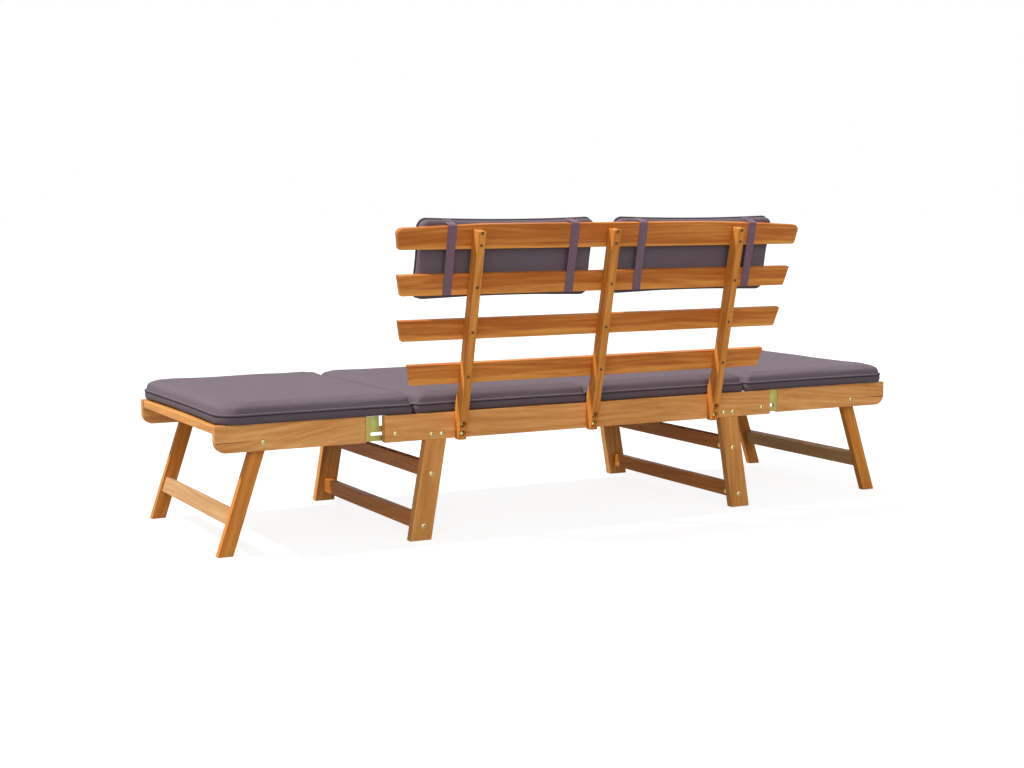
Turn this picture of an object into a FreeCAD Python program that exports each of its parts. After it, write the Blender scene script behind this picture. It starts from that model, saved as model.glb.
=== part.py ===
import FreeCAD, Part
import math
import os
import Sketcher

# A garden bench of oiled hardwood that opens out into a daybed. The fixed seat carries a
# leaning backrest. A wing at each end hangs on slotted steel plates: it lies level on its own
# folding legs, or swings upright and drops between the seat rails as an armrest.
# X runs along the bench with the sitter's left at +X, the front faces -Y, and Z = 0 is the floor.

os.makedirs("parts", exist_ok=True)
doc = FreeCAD.newDocument("DaybedBench")

# Driving dimensions in millimetres and degrees

SIZES = (
    ("overall_length", 1900),
    ("seat_rail_length", 1100),
    ("seat_depth", 624),
    ("frame_top", 300),
    ("rail_height", 62),
    ("rail_thick", 18),
    ("housing_depth", 8),
    ("seat_leg_thick", 22),
    ("seat_leg_width", 54),
    ("seat_leg_foot_inset", 90),
    ("seat_leg_lean", 9.73),
    ("leg_joint_gap", 2),
    ("board_thick", 18),
    ("board_drop", 2),
    ("board_width", 56),
    ("tenon_length", 8),
    ("tenon_thick", 12),
    ("stretcher_width", 20),
    ("stretcher_height", 36),
    ("upper_stretcher_middle", 165),
    ("lower_stretcher_middle", 41.5),
    ("stretcher_bolt_drop", 7),
    ("pivot_inset", 27.3),
    ("pivot_height", 257.9),
    ("pivot_diameter", 7.4),
    ("running_gap", 0.3),
    ("slide_travel", 51),
    ("pivot_washer_thick", 2),
    ("plate_thick", 3),
    ("plate_tongue", 17.7),
    ("plate_step_gap", 6),
    ("plate_step_height", 276),
    ("plate_low_margin", 3),
    ("plate_top_margin", 1),
    ("plate_tail", 61),
    ("wing_rail_gap", 38.8),
    ("wing_corner", 26),
    ("wing_boards_inset", 5.2),
    ("wing_boards_margin", 2),
    ("wing_clearance", 2),
    ("wing_leg_pivot_inset", 113.3),
    ("wing_leg_width", 34.6),
    ("wing_leg_thick", 18),
    ("wing_leg_lean", 18.5),
    ("leg_stop_gap", 0.3),
    ("leg_spacer", 4),
    ("leg_bolt_diameter", 8),
    ("wing_stretcher_distance", 184.3),
    ("wing_stretcher_height", 38),
    ("wing_stretcher_thick", 18),
    ("wing_stretcher_offset", 3.6),
    ("dowel_spread", 9),
    ("dowel_diameter", 8),
    ("dowel_length", 30),
    ("dowel_bite", 12),
    ("bolt_diameter", 6),
    ("bolt_head_diameter", 13),
    ("bolt_head_height", 3.5),
    ("bolt_head_rim", 0.8),
    ("bolt_tail", 2),
    ("nut_width", 11.5),
    ("nut_height", 6),
    ("nut_flange_diameter", 15),
    ("nut_flange_thick", 1.5),
    ("leg_bolt_spread", 13.45),
    ("leg_bolt_height", 251),
    ("barrel_nut_diameter", 10),
    ("barrel_nut_depth", 24),
    ("barrel_nut_overreach", 8),
    ("post_width", 20),
    ("post_leg_gap", 57),
    ("post_depth", 31),
    ("post_foot_depth", 19.2),
    ("post_foot_drop", 3),
    ("post_top", 723.5),
    ("post_knee_low", 318),
    ("post_knee_high", 366),
    ("post_bolt_upper", 271.5),
    ("post_bolt_lower", 250),
    ("post_bolt_wood", 14),
    ("post_counterbore", 14.6),
    ("back_lean", 12.43),
    ("back_board_thick", 15),
    ("back_board_height", 48.5),
    ("top_board_height", 59),
    ("first_back_board", 368.7),
    ("back_board_pitch", 105),
    ("back_inset_lowest", 58.7),
    ("back_inset_second", 25.1),
    ("back_inset_third", 14.2),
    ("back_inset_top", -1.4),
    ("back_end_flare", 11.4),
    ("top_end_flare", 5.5),
    ("top_board_corner", 13),
    ("top_board_foot_corner", 5),
    ("top_board_fall", 10),
    ("top_board_fall_run", 345),
    ("screw_diameter", 4),
    ("screw_head_diameter", 7.6),
    ("screw_head_depth", 2.4),
    ("screw_bite", 10),
    ("top_screw_spread", 14),
    ("plate_screw_length", 16),
    ("plate_screw_first", 14),
    ("plate_screw_pitch", 18),
    ("pad_end_inset", 6),
    ("pad_seam_gap", 1),
    ("pad_setback", 5),
    ("pad_overhang", 1),
    ("pad_thick", 50),
    ("pad_lift", 0.3),
    ("pad_corner", 42),
    ("pad_draw_in", 4),
    ("pad_seam_height", 16),
    ("pad_piping", 2),
    ("pad_base_round", 6),
    ("back_pad_outer_inset", 53),
    ("back_pad_inner_reach", 31),
    ("back_pad_height", 188),
    ("back_pad_thick", 42),
    ("back_pad_low", 571),
    ("right_back_pad_shift", 8),
    ("back_pad_corner", 20),
    ("back_pad_seam_height", 20),
    ("strap_width", 22),
    ("strap_thick", 1.4),
    ("strap_fall", 2),
    ("strap_shift", 5),
    ("strap_post_gap", 57),
    ("strap_inner_inset", 64),
)

sheet = doc.addObject("Spreadsheet::Sheet", "Sizes")
for row, (alias, value) in enumerate(SIZES, start=1):
    sheet.set(f"A{row}", alias)
    sheet.set(f"B{row}", str(value))
    sheet.setAlias(f"B{row}", alias)
doc.recompute()


class Size:
    """A size that knows both its number and the formula on the sheet that gives it."""

    def __init__(self, number, formula):
        self.number = number
        self.formula = formula

    def __add__(self, other):
        other = as_size(other)
        return Size(self.number + other.number, f"({self.formula} + {other.formula})")

    def __radd__(self, other):
        return as_size(other) + self

    def __sub__(self, other):
        other = as_size(other)
        return Size(self.number - other.number, f"({self.formula} - {other.formula})")

    def __rsub__(self, other):
        return as_size(other) - self

    def __mul__(self, other):
        other = as_size(other)
        return Size(self.number * other.number, f"({self.formula} * {other.formula})")

    def __rmul__(self, other):
        return self * other

    def __truediv__(self, other):
        other = as_size(other)
        return Size(self.number / other.number, f"({self.formula} / {other.formula})")

    def __neg__(self):
        return Size(-self.number, f"(-1 * {self.formula})")


def as_size(thing):
    if isinstance(thing, Size):
        return thing
    return Size(float(thing), f"({float(thing)})")


def size(alias):
    return Size(float(sheet.get(alias)), f"Sizes.{alias}")


def sine(angle):
    return Size(math.sin(math.radians(angle.number)), f"sin({angle.formula} * 1 deg)")


def cosine(angle):
    return Size(math.cos(math.radians(angle.number)), f"cos({angle.formula} * 1 deg)")


def tangent(angle):
    return Size(math.tan(math.radians(angle.number)), f"tan({angle.formula} * 1 deg)")


def bind(thing, name, wanted):
    thing.setExpression(name, as_size(wanted).formula)


# Where things lie, worked out from the driving dimensions

LEFT = 1
RIGHT = -1
REAR = 1
FRONT = -1
ALONG_X = FreeCAD.Vector(1, 0, 0)
ALONG_Y = FreeCAD.Vector(0, 1, 0)

half_depth = size("seat_depth") / 2
half_rail = size("seat_rail_length") / 2
rail_low = size("frame_top") - size("rail_height")
lean = size("back_lean")
post_back_foot = half_depth + size("post_foot_depth")
post_foot = rail_low - size("post_foot_drop")


def post_back(height):
    """How far behind the middle of the seat the back edge of a post lies at a height."""
    return post_back_foot + (height - post_foot) * tangent(lean)


# The origin is under the middle of the whole bench, so the seat sits a little forward of it
back_extent = post_back(size("post_top"))
front_extent = half_depth + size("bolt_head_height")
seat_middle = (front_extent - back_extent) / 2

board_top = size("frame_top") - size("board_drop")
board_low = board_top - size("board_thick")
seat_leg_top = board_low - size("leg_joint_gap")
rail_inner = half_depth - size("rail_thick")
housing_face = rail_inner + size("housing_depth")
seat_leg_inner = half_depth - size("seat_leg_thick")
wing_outer = rail_inner - size("pivot_washer_thick")
wing_inner = wing_outer - size("rail_thick")
wing_start = half_rail + size("wing_rail_gap")
wing_end = size("overall_length") / 2
wing_leg_pivot = wing_end - size("wing_leg_pivot_inset")
wing_leg_outer = wing_inner - size("leg_spacer")
wing_leg_inner = wing_leg_outer - size("wing_leg_thick")
half_leg = size("wing_leg_width") / 2
wing_lean = size("wing_leg_lean")
leg_pivot_height = board_low - size("leg_stop_gap") - half_leg * (cosine(wing_lean) + sine(wing_lean))
pivot_reach = half_rail - size("pivot_inset")
pivot_to_top = size("frame_top") - size("pivot_height")
seat_boards_reach = pivot_reach - pivot_to_top - size("wing_clearance")
wing_boards_end = wing_end - size("wing_boards_margin")
back_plane = post_back(as_size(0)) - size("post_depth") + seat_middle


def across(side, distance):
    """The Y of a face that lies a distance behind (REAR) or before (FRONT) the seat's middle."""
    return seat_middle + side * distance


def seat_leg_middle(height):
    """The X of a seat leg's middle line at a height."""
    return half_rail - size("seat_leg_foot_inset") - height * tangent(size("seat_leg_lean"))


def seat_leg_edge(height, edge):
    """The X of a seat leg's outer (edge 1) or inner (edge -1) edge at a height."""
    return seat_leg_middle(height) + edge * size("seat_leg_width") / 2


def on_back(normal, slope):
    """Y and Z of a point in the backrest's plane, from its depth behind and its way up it."""
    y = back_plane + slope * sine(lean) + normal * cosine(lean)
    z = slope * cosine(lean) - normal * sine(lean)
    return y, z


# Ways of making a piece

def origin_plane(body, role):
    return [plane for plane in body.Origin.OriginFeatures if plane.Role == role][0]


def new_body(label):
    body = doc.addObject("PartDesign::Body", label)
    body.Label = label
    return body


def draw_outline(body, role, offset, corners, arcs=None, holes=()):
    """A closed sketch through corners; arcs gives a bend's radius and centre by its first corner."""
    sketch = body.newObject("Sketcher::SketchObject", body.Name + "_outline")
    sketch.AttachmentSupport = [(origin_plane(body, role), "")]
    sketch.MapMode = "FlatFace"
    bind(sketch, "AttachmentOffset.Base.z", offset)
    corners = [(as_size(across_u), as_size(up_v)) for across_u, up_v in corners]
    arcs = arcs or {}
    count = len(corners)
    for index in range(count):
        start = FreeCAD.Vector(corners[index][0].number, corners[index][1].number, 0)
        after = corners[(index + 1) % count]
        end = FreeCAD.Vector(after[0].number, after[1].number, 0)
        if index in arcs:
            radius, centre_u, centre_v = arcs[index]
            sketch.addGeometry(bend(start, end, as_size(centre_u), as_size(centre_v), radius), False)
        else:
            sketch.addGeometry(Part.LineSegment(start, end), False)
    for index in range(count):
        after = (index + 1) % count
        first_end = edge_end(sketch, index, corners[after])
        next_start = 3 - edge_end(sketch, after, corners[(after + 1) % count])
        sketch.addConstraint(Sketcher.Constraint("Coincident", index, first_end, after, next_start))
    for index, (across_u, up_v) in enumerate(corners):
        start = 3 - edge_end(sketch, index, corners[(index + 1) % count])
        pin(sketch, index, start, across_u, up_v)
    for index, (radius, centre_u, centre_v) in arcs.items():
        constraint = sketch.addConstraint(Sketcher.Constraint("Radius", index, as_size(radius).number))
        bind(sketch, f"Constraints[{constraint}]", radius)
    for centre_u, centre_v, diameter in holes:
        centre_u, centre_v, diameter = as_size(centre_u), as_size(centre_v), as_size(diameter)
        centre = FreeCAD.Vector(centre_u.number, centre_v.number, 0)
        circle = Part.Circle(centre, FreeCAD.Vector(0, 0, 1), diameter.number / 2)
        hole = sketch.addGeometry(circle, False)
        pin(sketch, hole, 3, centre_u, centre_v)
        constraint = sketch.addConstraint(Sketcher.Constraint("Diameter", hole, diameter.number))
        bind(sketch, f"Constraints[{constraint}]", diameter)
    return sketch


def bend(start, end, centre_u, centre_v, radius):
    """The shorter arc between two points about a centre, counted the way a sketch counts angles."""
    centre = FreeCAD.Vector(centre_u.number, centre_v.number, 0)
    from_angle = math.atan2(start.y - centre.y, start.x - centre.x)
    to_angle = math.atan2(end.y - centre.y, end.x - centre.x)
    if (to_angle - from_angle) % (2 * math.pi) > math.pi:
        from_angle, to_angle = to_angle, from_angle
    circle = Part.Circle(centre, FreeCAD.Vector(0, 0, 1), as_size(radius).number)
    return Part.ArcOfCircle(circle, from_angle, to_angle)


def edge_end(sketch, index, corner):
    """Which end of an edge (1 or 2) lies on the corner that follows it."""
    target = FreeCAD.Vector(corner[0].number, corner[1].number, 0)
    edge = sketch.Geometry[index]
    if (edge.EndPoint - target).Length < (edge.StartPoint - target).Length:
        return 2
    return 1


def pin(sketch, index, point, across_u, up_v):
    """Hold a point of the sketch at its distances from the sketch's own origin."""
    for kind, wanted in (("DistanceX", across_u), ("DistanceY", up_v)):
        constraint = sketch.addConstraint(Sketcher.Constraint(kind, -1, 1, index, point, wanted.number))
        bind(sketch, f"Constraints[{constraint}]", wanted)


def add_layer(body, high, thickness, corners, arcs=None, holes=()):
    """Thicken an outline in the XZ plane from its face at Y = high towards the front."""
    sketch = draw_outline(body, "XZ_Plane", -high, corners, arcs, holes)
    pad = body.newObject("PartDesign::Pad", body.Name + "_layer")
    pad.Profile = sketch
    bind(pad, "Length", thickness)
    return body


def add_bar(body, start, length, corners, arcs=None):
    """Run a section in the YZ plane along X from X = start."""
    sketch = draw_outline(body, "YZ_Plane", start, corners, arcs)
    pad = body.newObject("PartDesign::Pad", body.Name + "_bar")
    pad.Profile = sketch
    bind(pad, "Length", length)
    return body


def add_turned(body, corners, arcs=None):
    """Turn a half section in the XZ plane about the body's own Z axis."""
    sketch = draw_outline(body, "XZ_Plane", as_size(0), corners, arcs)
    turned = body.newObject("PartDesign::Revolution", body.Name + "_turned")
    turned.Profile = sketch
    turned.ReferenceAxis = (sketch, ["V_Axis"])
    turned.Angle = 360
    return body


def layer_between(body, side, near, far, corners, arcs=None, holes=()):
    """A layer between two distances from the seat's middle, on the rear or the front side."""
    high = across(side, far if side == REAR else near)
    return add_layer(body, high, far - near, corners, arcs, holes)


def place(thing, x, y, z, axis=ALONG_X, angle=0):
    """Set a piece down at a point, turned by an angle about an axis."""
    angle = as_size(angle)
    thing.Placement = FreeCAD.Placement(FreeCAD.Vector(0, 0, 0), FreeCAD.Rotation(axis, 1))
    bind(thing, "Placement.Rotation.Angle", angle)
    bind(thing, "Placement.Base.x", x)
    bind(thing, "Placement.Base.y", y)
    bind(thing, "Placement.Base.z", z)
    return thing


def copies(label, master, places):
    """Like pieces in one group, each set down at its own place."""
    links = []
    for index, spot in enumerate(places):
        link = doc.addObject("App::Link", f"{label}_{index + 1}")
        link.LinkedObject = master
        links.append(place(link, *spot))
    group = doc.addObject("Part::Compound", label)
    group.Label = label
    group.Links = links
    return group


def gather(label, groups):
    group = doc.addObject("Part::Compound", label)
    group.Label = label
    group.Links = groups
    return group


def bored(label, blank, tools):
    """A blank with the room for the pieces that go into it cut away."""
    blank.Label = label + "_blank"
    piece = doc.addObject("Part::Cut", label)
    piece.Label = label
    piece.Base = blank
    piece.Tool = tools[0] if len(tools) == 1 else gather(label + "_tools", tools)
    return piece


def block(label, x, y, z, length, width, height):
    box = doc.addObject("Part::Box", label)
    bind(box, "Length", length)
    bind(box, "Width", width)
    bind(box, "Height", height)
    return place(box, x, y, z)


def rod(label, diameter, height):
    cylinder = doc.addObject("Part::Cylinder", label)
    bind(cylinder, "Radius", as_size(diameter) / 2)
    bind(cylinder, "Height", height)
    return cylinder


kept = []


def keep(*pieces):
    kept.extend(pieces)


# Fasteners, each drawn once with its head on the side of +Z and its seat at Z = 0

def domed_bolt(label, diameter, length):
    radius = diameter / 2
    head = size("bolt_head_diameter") / 2
    rim = size("bolt_head_rim")
    height = size("bolt_head_height")
    rise = height - rim
    dome = (head * head + rise * rise) / (2 * rise)
    outline = [(0, -length), (radius, -length), (radius, 0), (head, 0), (head, rim), (0, height)]
    return add_turned(new_body(label), outline, {4: (dome, 0, height - dome)})


def countersunk_screw(label, length):
    radius = size("screw_diameter") / 2
    head = size("screw_head_diameter") / 2
    neck = -size("screw_head_depth")
    outline = [(0, -length), (radius, -length), (radius, neck), (head, 0), (0, 0)]
    return add_turned(new_body(label), outline)


def flanged_nut(label, diameter, width, flange_diameter):
    """A nut below Z = 0 whose flange bears on the face at Z = 0."""
    hexagon = doc.addObject("Part::Prism", label + "_hexagon")
    hexagon.Polygon = 6
    bind(hexagon, "Circumradius", width / (2 * cosine(as_size(30))))
    bind(hexagon, "Height", size("nut_height"))
    place(hexagon, 0, 0, -size("nut_height"))
    flange = rod(label + "_flange", flange_diameter, size("nut_flange_thick"))
    place(flange, 0, 0, -size("nut_flange_thick"))
    solid = doc.addObject("Part::Fuse", label + "_solid")
    solid.Base = hexagon
    solid.Tool = flange
    return ring_hole(label, solid, diameter)


def ring_hole(label, solid, diameter):
    """Bore a nut or a washer through along its own axis."""
    through = size("rail_height")
    drill = place(rod(label + "_drill", diameter, through), 0, 0, -through / 2)
    nut = doc.addObject("Part::Cut", label)
    nut.Base = solid
    nut.Tool = drill
    return nut


def spacer_ring(label, diameter, outer, thick):
    return ring_hole(label, place(rod(label + "_disc", outer, thick), 0, 0, -thick), diameter)


TOWARDS = {REAR: -90, FRONT: 90}

bolt = size("bolt_diameter")
nut_and_tail = size("nut_height") + size("bolt_tail")
leg_bolt = domed_bolt("leg_bolt", bolt, size("seat_leg_thick") + nut_and_tail)
stretcher_bolt_length = size("seat_leg_thick") + size("barrel_nut_depth") + size("barrel_nut_diameter")
stretcher_bolt = domed_bolt("stretcher_bolt", bolt, stretcher_bolt_length)
post_bolt = domed_bolt("post_bolt", bolt, size("post_bolt_wood") + size("rail_thick") + nut_and_tail)
nut = flanged_nut("nut", bolt, size("nut_width"), size("nut_flange_diameter"))

seat_leg_spots = [(side, rank) for side in (LEFT, RIGHT) for rank in (REAR, FRONT)]
leg_bolt_middle = seat_leg_middle(size("leg_bolt_height"))
leg_bolt_reaches = (leg_bolt_middle + size("leg_bolt_spread"), leg_bolt_middle - size("leg_bolt_spread"))
leg_bolts = copies("leg_bolts", leg_bolt, [
    (side * reach, across(rank, half_depth), size("leg_bolt_height"), ALONG_X, TOWARDS[rank])
    for side, rank in seat_leg_spots for reach in leg_bolt_reaches])
leg_nuts = copies("leg_nuts", nut, [
    (side * reach, across(rank, seat_leg_inner), size("leg_bolt_height"), ALONG_X, TOWARDS[rank])
    for side, rank in seat_leg_spots for reach in leg_bolt_reaches])
keep(leg_bolts, leg_nuts)

stretcher_heights = (size("upper_stretcher_middle"), size("lower_stretcher_middle"))
stretcher_bolts = copies("stretcher_bolts", stretcher_bolt, [
    (side * seat_leg_middle(height), across(rank, half_depth), height - size("stretcher_bolt_drop"),
     ALONG_X, TOWARDS[rank])
    for side, rank in seat_leg_spots for height in stretcher_heights])
barrel_length = size("stretcher_width") / 2 + size("barrel_nut_overreach")
barrel_nut = rod("barrel_nut", size("barrel_nut_diameter"), barrel_length)
barrel_blanks = copies("barrel_nut_blanks", barrel_nut, [
    (side * (seat_leg_middle(height) - size("stretcher_width") / 2),
     across(rank, seat_leg_inner - size("barrel_nut_depth")), height - size("stretcher_bolt_drop"),
     ALONG_Y, side * 90)
    for side, rank in seat_leg_spots for height in stretcher_heights])
barrel_nuts = bored("stretcher_barrel_nuts", barrel_blanks, [stretcher_bolts])
keep(stretcher_bolts, barrel_nuts)

post_reach = leg_bolt_middle - size("post_leg_gap")
post_reaches = (("left", post_reach), ("middle", as_size(0)), ("right", -post_reach))
post_bolt_spots = [(reach, height) for name, reach in post_reaches
                   for height in (size("post_bolt_upper"), size("post_bolt_lower"))]
post_seat = across(REAR, half_depth + size("post_bolt_wood"))
post_bolts = copies("post_bolts", post_bolt, [
    (reach, post_seat, height, ALONG_X, TOWARDS[REAR]) for reach, height in post_bolt_spots])
post_nuts = copies("post_nuts", nut, [
    (reach, across(REAR, rail_inner), height, ALONG_X, TOWARDS[REAR]) for reach, height in post_bolt_spots])
counterbore = rod("counterbore", size("post_counterbore"), size("post_depth"))
post_counterbores = copies("post_counterbores", counterbore, [
    (reach, post_seat, height, ALONG_X, TOWARDS[REAR]) for reach, height in post_bolt_spots])
keep(post_bolts, post_nuts)

# Backrest boards lie on the front of the posts; the top one is wider and falls towards its ends

back_board_names = ("lowest", "second", "third", "top")
back_boards = []
for index, name in enumerate(back_board_names):
    low = (size("first_back_board") + index * size("back_board_pitch")) / cosine(lean)
    reach = half_rail - size("back_inset_" + name)
    if name == "top":
        high = low + size("top_board_height")
        corner = size("top_board_corner")
        foot_corner = size("top_board_foot_corner")
        tip = reach + size("top_end_flare")
        end_high = high - size("top_board_fall")
        fall_run = size("top_board_fall_run")
        level_reach = tip - corner - fall_run
        fall_radius = (fall_run * fall_run + size("top_board_fall") * size("top_board_fall")) / (
            2 * size("top_board_fall"))
        half = [(reach - foot_corner, low), (reach, low + foot_corner), (tip, end_high - corner),
                (tip - corner, end_high), (level_reach, high)]
        outline = half + [(-x, z) for x, z in reversed(half)]
        bends = {
            0: (foot_corner, reach - foot_corner, low + foot_corner),
            2: (corner, tip - corner, end_high - corner),
            3: (fall_radius, level_reach, high - fall_radius),
            5: (fall_radius, -level_reach, high - fall_radius),
            6: (corner, corner - tip, end_high - corner),
            8: (foot_corner, foot_corner - reach, low + foot_corner),
        }
    else:
        high = low + size("back_board_height")
        tip = reach + size("back_end_flare")
        outline = [(-reach, low), (reach, low), (tip, high), (-tip, high)]
        bends = {}
    body = add_layer(new_body("backrest_board_" + name), as_size(0), size("back_board_thick"), outline, bends)
    place(body, 0, back_plane, 0, ALONG_X, -lean)
    back_boards.append((name, body, low, high))

# Screws come through the posts into the boards, two in the wide top board and one in the others
post_normal = size("post_depth") * cosine(lean)
back_screw = countersunk_screw("back_screw", post_normal + size("screw_bite"))
screw_slopes = []
for name, body, low, high in back_boards:
    middle = (low + high) / 2
    if name == "top":
        screw_slopes += [middle - size("top_screw_spread"), middle + size("top_screw_spread")]
    else:
        screw_slopes.append(middle)
backrest_screws = copies("backrest_screws", back_screw, [
    (reach, *on_back(post_normal, slope), ALONG_X, -(90 + lean))
    for name, reach in post_reaches for slope in screw_slopes])
keep(backrest_screws)
for name, body, low, high in back_boards:
    keep(bored("backrest_board_" + name, body, [backrest_screws]))

# Posts stand on the outer face of the rear seat rail and lean back above it

for name, reach in post_reaches:
    knee_low = size("post_knee_low")
    knee_high = size("post_knee_high")
    top = size("post_top")
    top_run = size("post_depth") * cosine(lean) * cosine(lean)
    outline = [
        (across(REAR, half_depth), post_foot),
        (across(REAR, post_back_foot), post_foot),
        (across(REAR, post_back(top)), top),
        (across(REAR, post_back(top) - top_run), top + top_run * tangent(lean)),
        (across(REAR, post_back(knee_high) - size("post_depth")), knee_high),
        (across(REAR, half_depth), knee_low),
    ]
    post_start = reach - size("post_width") / 2
    body = add_bar(new_body("backrest_post_" + name), post_start, size("post_width"), outline)
    keep(bored("backrest_post_" + name, body, [post_bolts, post_counterbores, backrest_screws]))

# Seat boards run from front to back, with barefaced tenons in the rails

def board_section(shoulder):
    """The section of a seat board along its length: full thickness between its shoulders."""
    tip = shoulder + size("tenon_length")
    tenon_low = board_low + (size("board_thick") - size("tenon_thick")) / 2
    tenon_top = tenon_low + size("tenon_thick")
    half = [(shoulder, board_low), (shoulder, tenon_low), (tip, tenon_low),
            (tip, tenon_top), (shoulder, tenon_top), (shoulder, board_top)]
    rear = [(across(REAR, y), z) for y, z in half]
    front = [(across(FRONT, y), z) for y, z in reversed(half)]
    return rear + front


def board_row(label, count, first, last, shoulder):
    """Evenly spaced boards whose outer edges reach from first to last."""
    width = size("board_width")
    master = add_bar(new_body(label + "_board"), -width / 2, width, board_section(shoulder))
    step = (last - first - width) / (count - 1)
    return copies(label, master, [(first + width / 2 + index * step, 0, 0) for index in range(count)])


SEAT_BOARDS = 13
WING_BOARDS = 5
seat_boards = board_row("seat_boards", SEAT_BOARDS, -seat_boards_reach, seat_boards_reach, rail_inner)
keep(seat_boards)

# Seat rails: the legs are housed in the inner face and stay flush with the outer face

frame_top = size("frame_top")
pivot_hole = size("pivot_diameter") + 2 * size("running_gap")
rail_holes = [(side * pivot_reach, size("pivot_height"), pivot_hole) for side in (LEFT, RIGHT)]
housing = [(seat_leg_edge(rail_low, -1), rail_low), (seat_leg_edge(seat_leg_top, -1), seat_leg_top),
           (seat_leg_edge(seat_leg_top, 1), seat_leg_top), (seat_leg_edge(rail_low, 1), rail_low)]
housed_outline = [(-half_rail, rail_low)]
housed_outline += [(-x, z) for x, z in reversed(housing)]
housed_outline += housing
housed_outline += [(half_rail, rail_low), (half_rail, frame_top), (-half_rail, frame_top)]
rail_outline = [(-half_rail, rail_low), (half_rail, rail_low),
                (half_rail, frame_top), (-half_rail, frame_top)]
for name, rank in (("rear", REAR), ("front", FRONT)):
    body = new_body("seat_rail_" + name)
    layer_between(body, rank, housing_face, half_depth, rail_outline, holes=rail_holes)
    layer_between(body, rank, rail_inner, housing_face, housed_outline, holes=rail_holes)
    fasteners = [leg_bolts, post_bolts] if rank == REAR else [leg_bolts]
    keep(bored("seat_rail_" + name, body, fasteners + [seat_boards]))

# Seat legs lean outwards towards the floor; their tops are halved to lie behind the rail

SIDES = (("left", LEFT), ("right", RIGHT))
RANKS = (("rear", REAR), ("front", FRONT))
for side_name, side in SIDES:
    for rank_name, rank in RANKS:
        full = [(side * seat_leg_edge(z, edge), z) for z, edge in
                ((as_size(0), -1), (as_size(0), 1), (seat_leg_top, 1), (seat_leg_top, -1))]
        below = [(side * seat_leg_edge(z, edge), z) for z, edge in
                 ((as_size(0), -1), (as_size(0), 1), (rail_low, 1), (rail_low, -1))]
        label = f"seat_leg_{side_name}_{rank_name}"
        body = new_body(label)
        layer_between(body, rank, seat_leg_inner, housing_face, full)
        layer_between(body, rank, housing_face, half_depth, below)
        keep(bored(label, body, [leg_bolts, stretcher_bolts]))
    for level, height in (("upper", stretcher_heights[0]), ("lower", stretcher_heights[1])):
        label = f"seat_stretcher_{side_name}_{level}"
        width = size("stretcher_width")
        tall = size("stretcher_height")
        body = block(label + "_blank", side * seat_leg_middle(height) - width / 2,
                     across(FRONT, seat_leg_inner), height - tall / 2, width, 2 * seat_leg_inner, tall)
        keep(bored(label, body, [stretcher_bolts, barrel_blanks]))

# Wings: each is a frame of two rails and five boards on two slotted plates and two folding legs

pivot_bolt_length = (size("rail_thick") + size("pivot_washer_thick") + size("plate_thick") + nut_and_tail)
pivot_bolt = domed_bolt("pivot_bolt", size("pivot_diameter"), pivot_bolt_length)
pivot_nut = flanged_nut("pivot_nut", size("pivot_diameter"), size("nut_width"), size("nut_flange_diameter"))
pivot_washer = spacer_ring("pivot_washer", size("pivot_diameter"), size("nut_flange_diameter"),
                           size("pivot_washer_thick"))
swing_bolt_length = size("rail_thick") + size("leg_spacer") + size("wing_leg_thick") + nut_and_tail
swing_bolt = domed_bolt("swing_bolt", size("leg_bolt_diameter"), swing_bolt_length)
swing_nut = flanged_nut("swing_nut", size("leg_bolt_diameter"), size("nut_width"),
                        size("nut_flange_diameter"))
swing_spacer = spacer_ring("swing_spacer", size("leg_bolt_diameter"), size("nut_flange_diameter"),
                           size("leg_spacer"))
plate_screw = countersunk_screw("plate_screw", size("plate_screw_length"))
dowel = rod("dowel", size("dowel_diameter"), size("dowel_length"))

plate_low = rail_low + size("plate_low_margin")
plate_top = frame_top - size("plate_top_margin")
plate_tip = pivot_reach - size("plate_tongue")
plate_inner = wing_outer - size("plate_thick")
tail_inner = wing_inner - size("plate_thick")
web = wing_start - size("plate_thick")
tail_end = wing_start + size("plate_tail")
slot_height = size("pivot_diameter") + 2 * size("running_gap")


def plate_profile(side, rank):
    """The plate seen from above: leaf, bend, web on the rail's end, bend, tail inside the rail."""
    thick = size("plate_thick")
    points = [(plate_tip, wing_outer), (web, wing_outer), (wing_start, plate_inner), (wing_start, wing_inner),
              (tail_end, wing_inner), (tail_end, tail_inner), (wing_start, tail_inner), (web, wing_inner),
              (web, plate_inner), (plate_tip, plate_inner)]
    corners = [(side * x, across(rank, y)) for x, y in points]
    bends = {1: (thick, side * web, across(rank, plate_inner)),
             6: (thick, side * wing_start, across(rank, wing_inner))}
    return corners, bends


def wing_span(side, near, far):
    """The lower X and the length of a stretch between two distances from the bench's middle."""
    return (near if side == LEFT else -far), far - near


def plate_cuts(label, side, rank):
    """What the press takes out of a plate: the step, the top of the tail and the slot."""
    deep = size("rail_thick") * 2
    low_y = across(rank, wing_inner) - deep
    tall = size("rail_height")
    step_x, step_length = wing_span(side, plate_tip - size("plate_thick"), half_rail + size("plate_step_gap"))
    step = block(label + "_step", step_x, low_y, size("plate_step_height"), step_length, 2 * deep, tall)
    tail_x, tail_length = wing_span(side, wing_start, tail_end + size("plate_thick"))
    tail = block(label + "_tail", tail_x, low_y, board_low - size("board_drop"), tail_length, 2 * deep, tall)
    slot_x, slot_length = wing_span(side, pivot_reach, pivot_reach + size("slide_travel"))
    channel = block(label + "_channel", slot_x, low_y, size("pivot_height") - slot_height / 2,
                    slot_length, 2 * deep, slot_height)
    ends = []
    for index, reach in enumerate((pivot_reach, pivot_reach + size("slide_travel"))):
        end = rod(f"{label}_slot_end_{index}", slot_height, 2 * deep)
        ends.append(place(end, side * reach, low_y + 2 * deep, size("pivot_height"), ALONG_X, 90))
    slot = doc.addObject("Part::MultiFuse", label + "_slot")
    slot.Shapes = [channel] + ends
    return [step, tail, slot]


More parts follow.
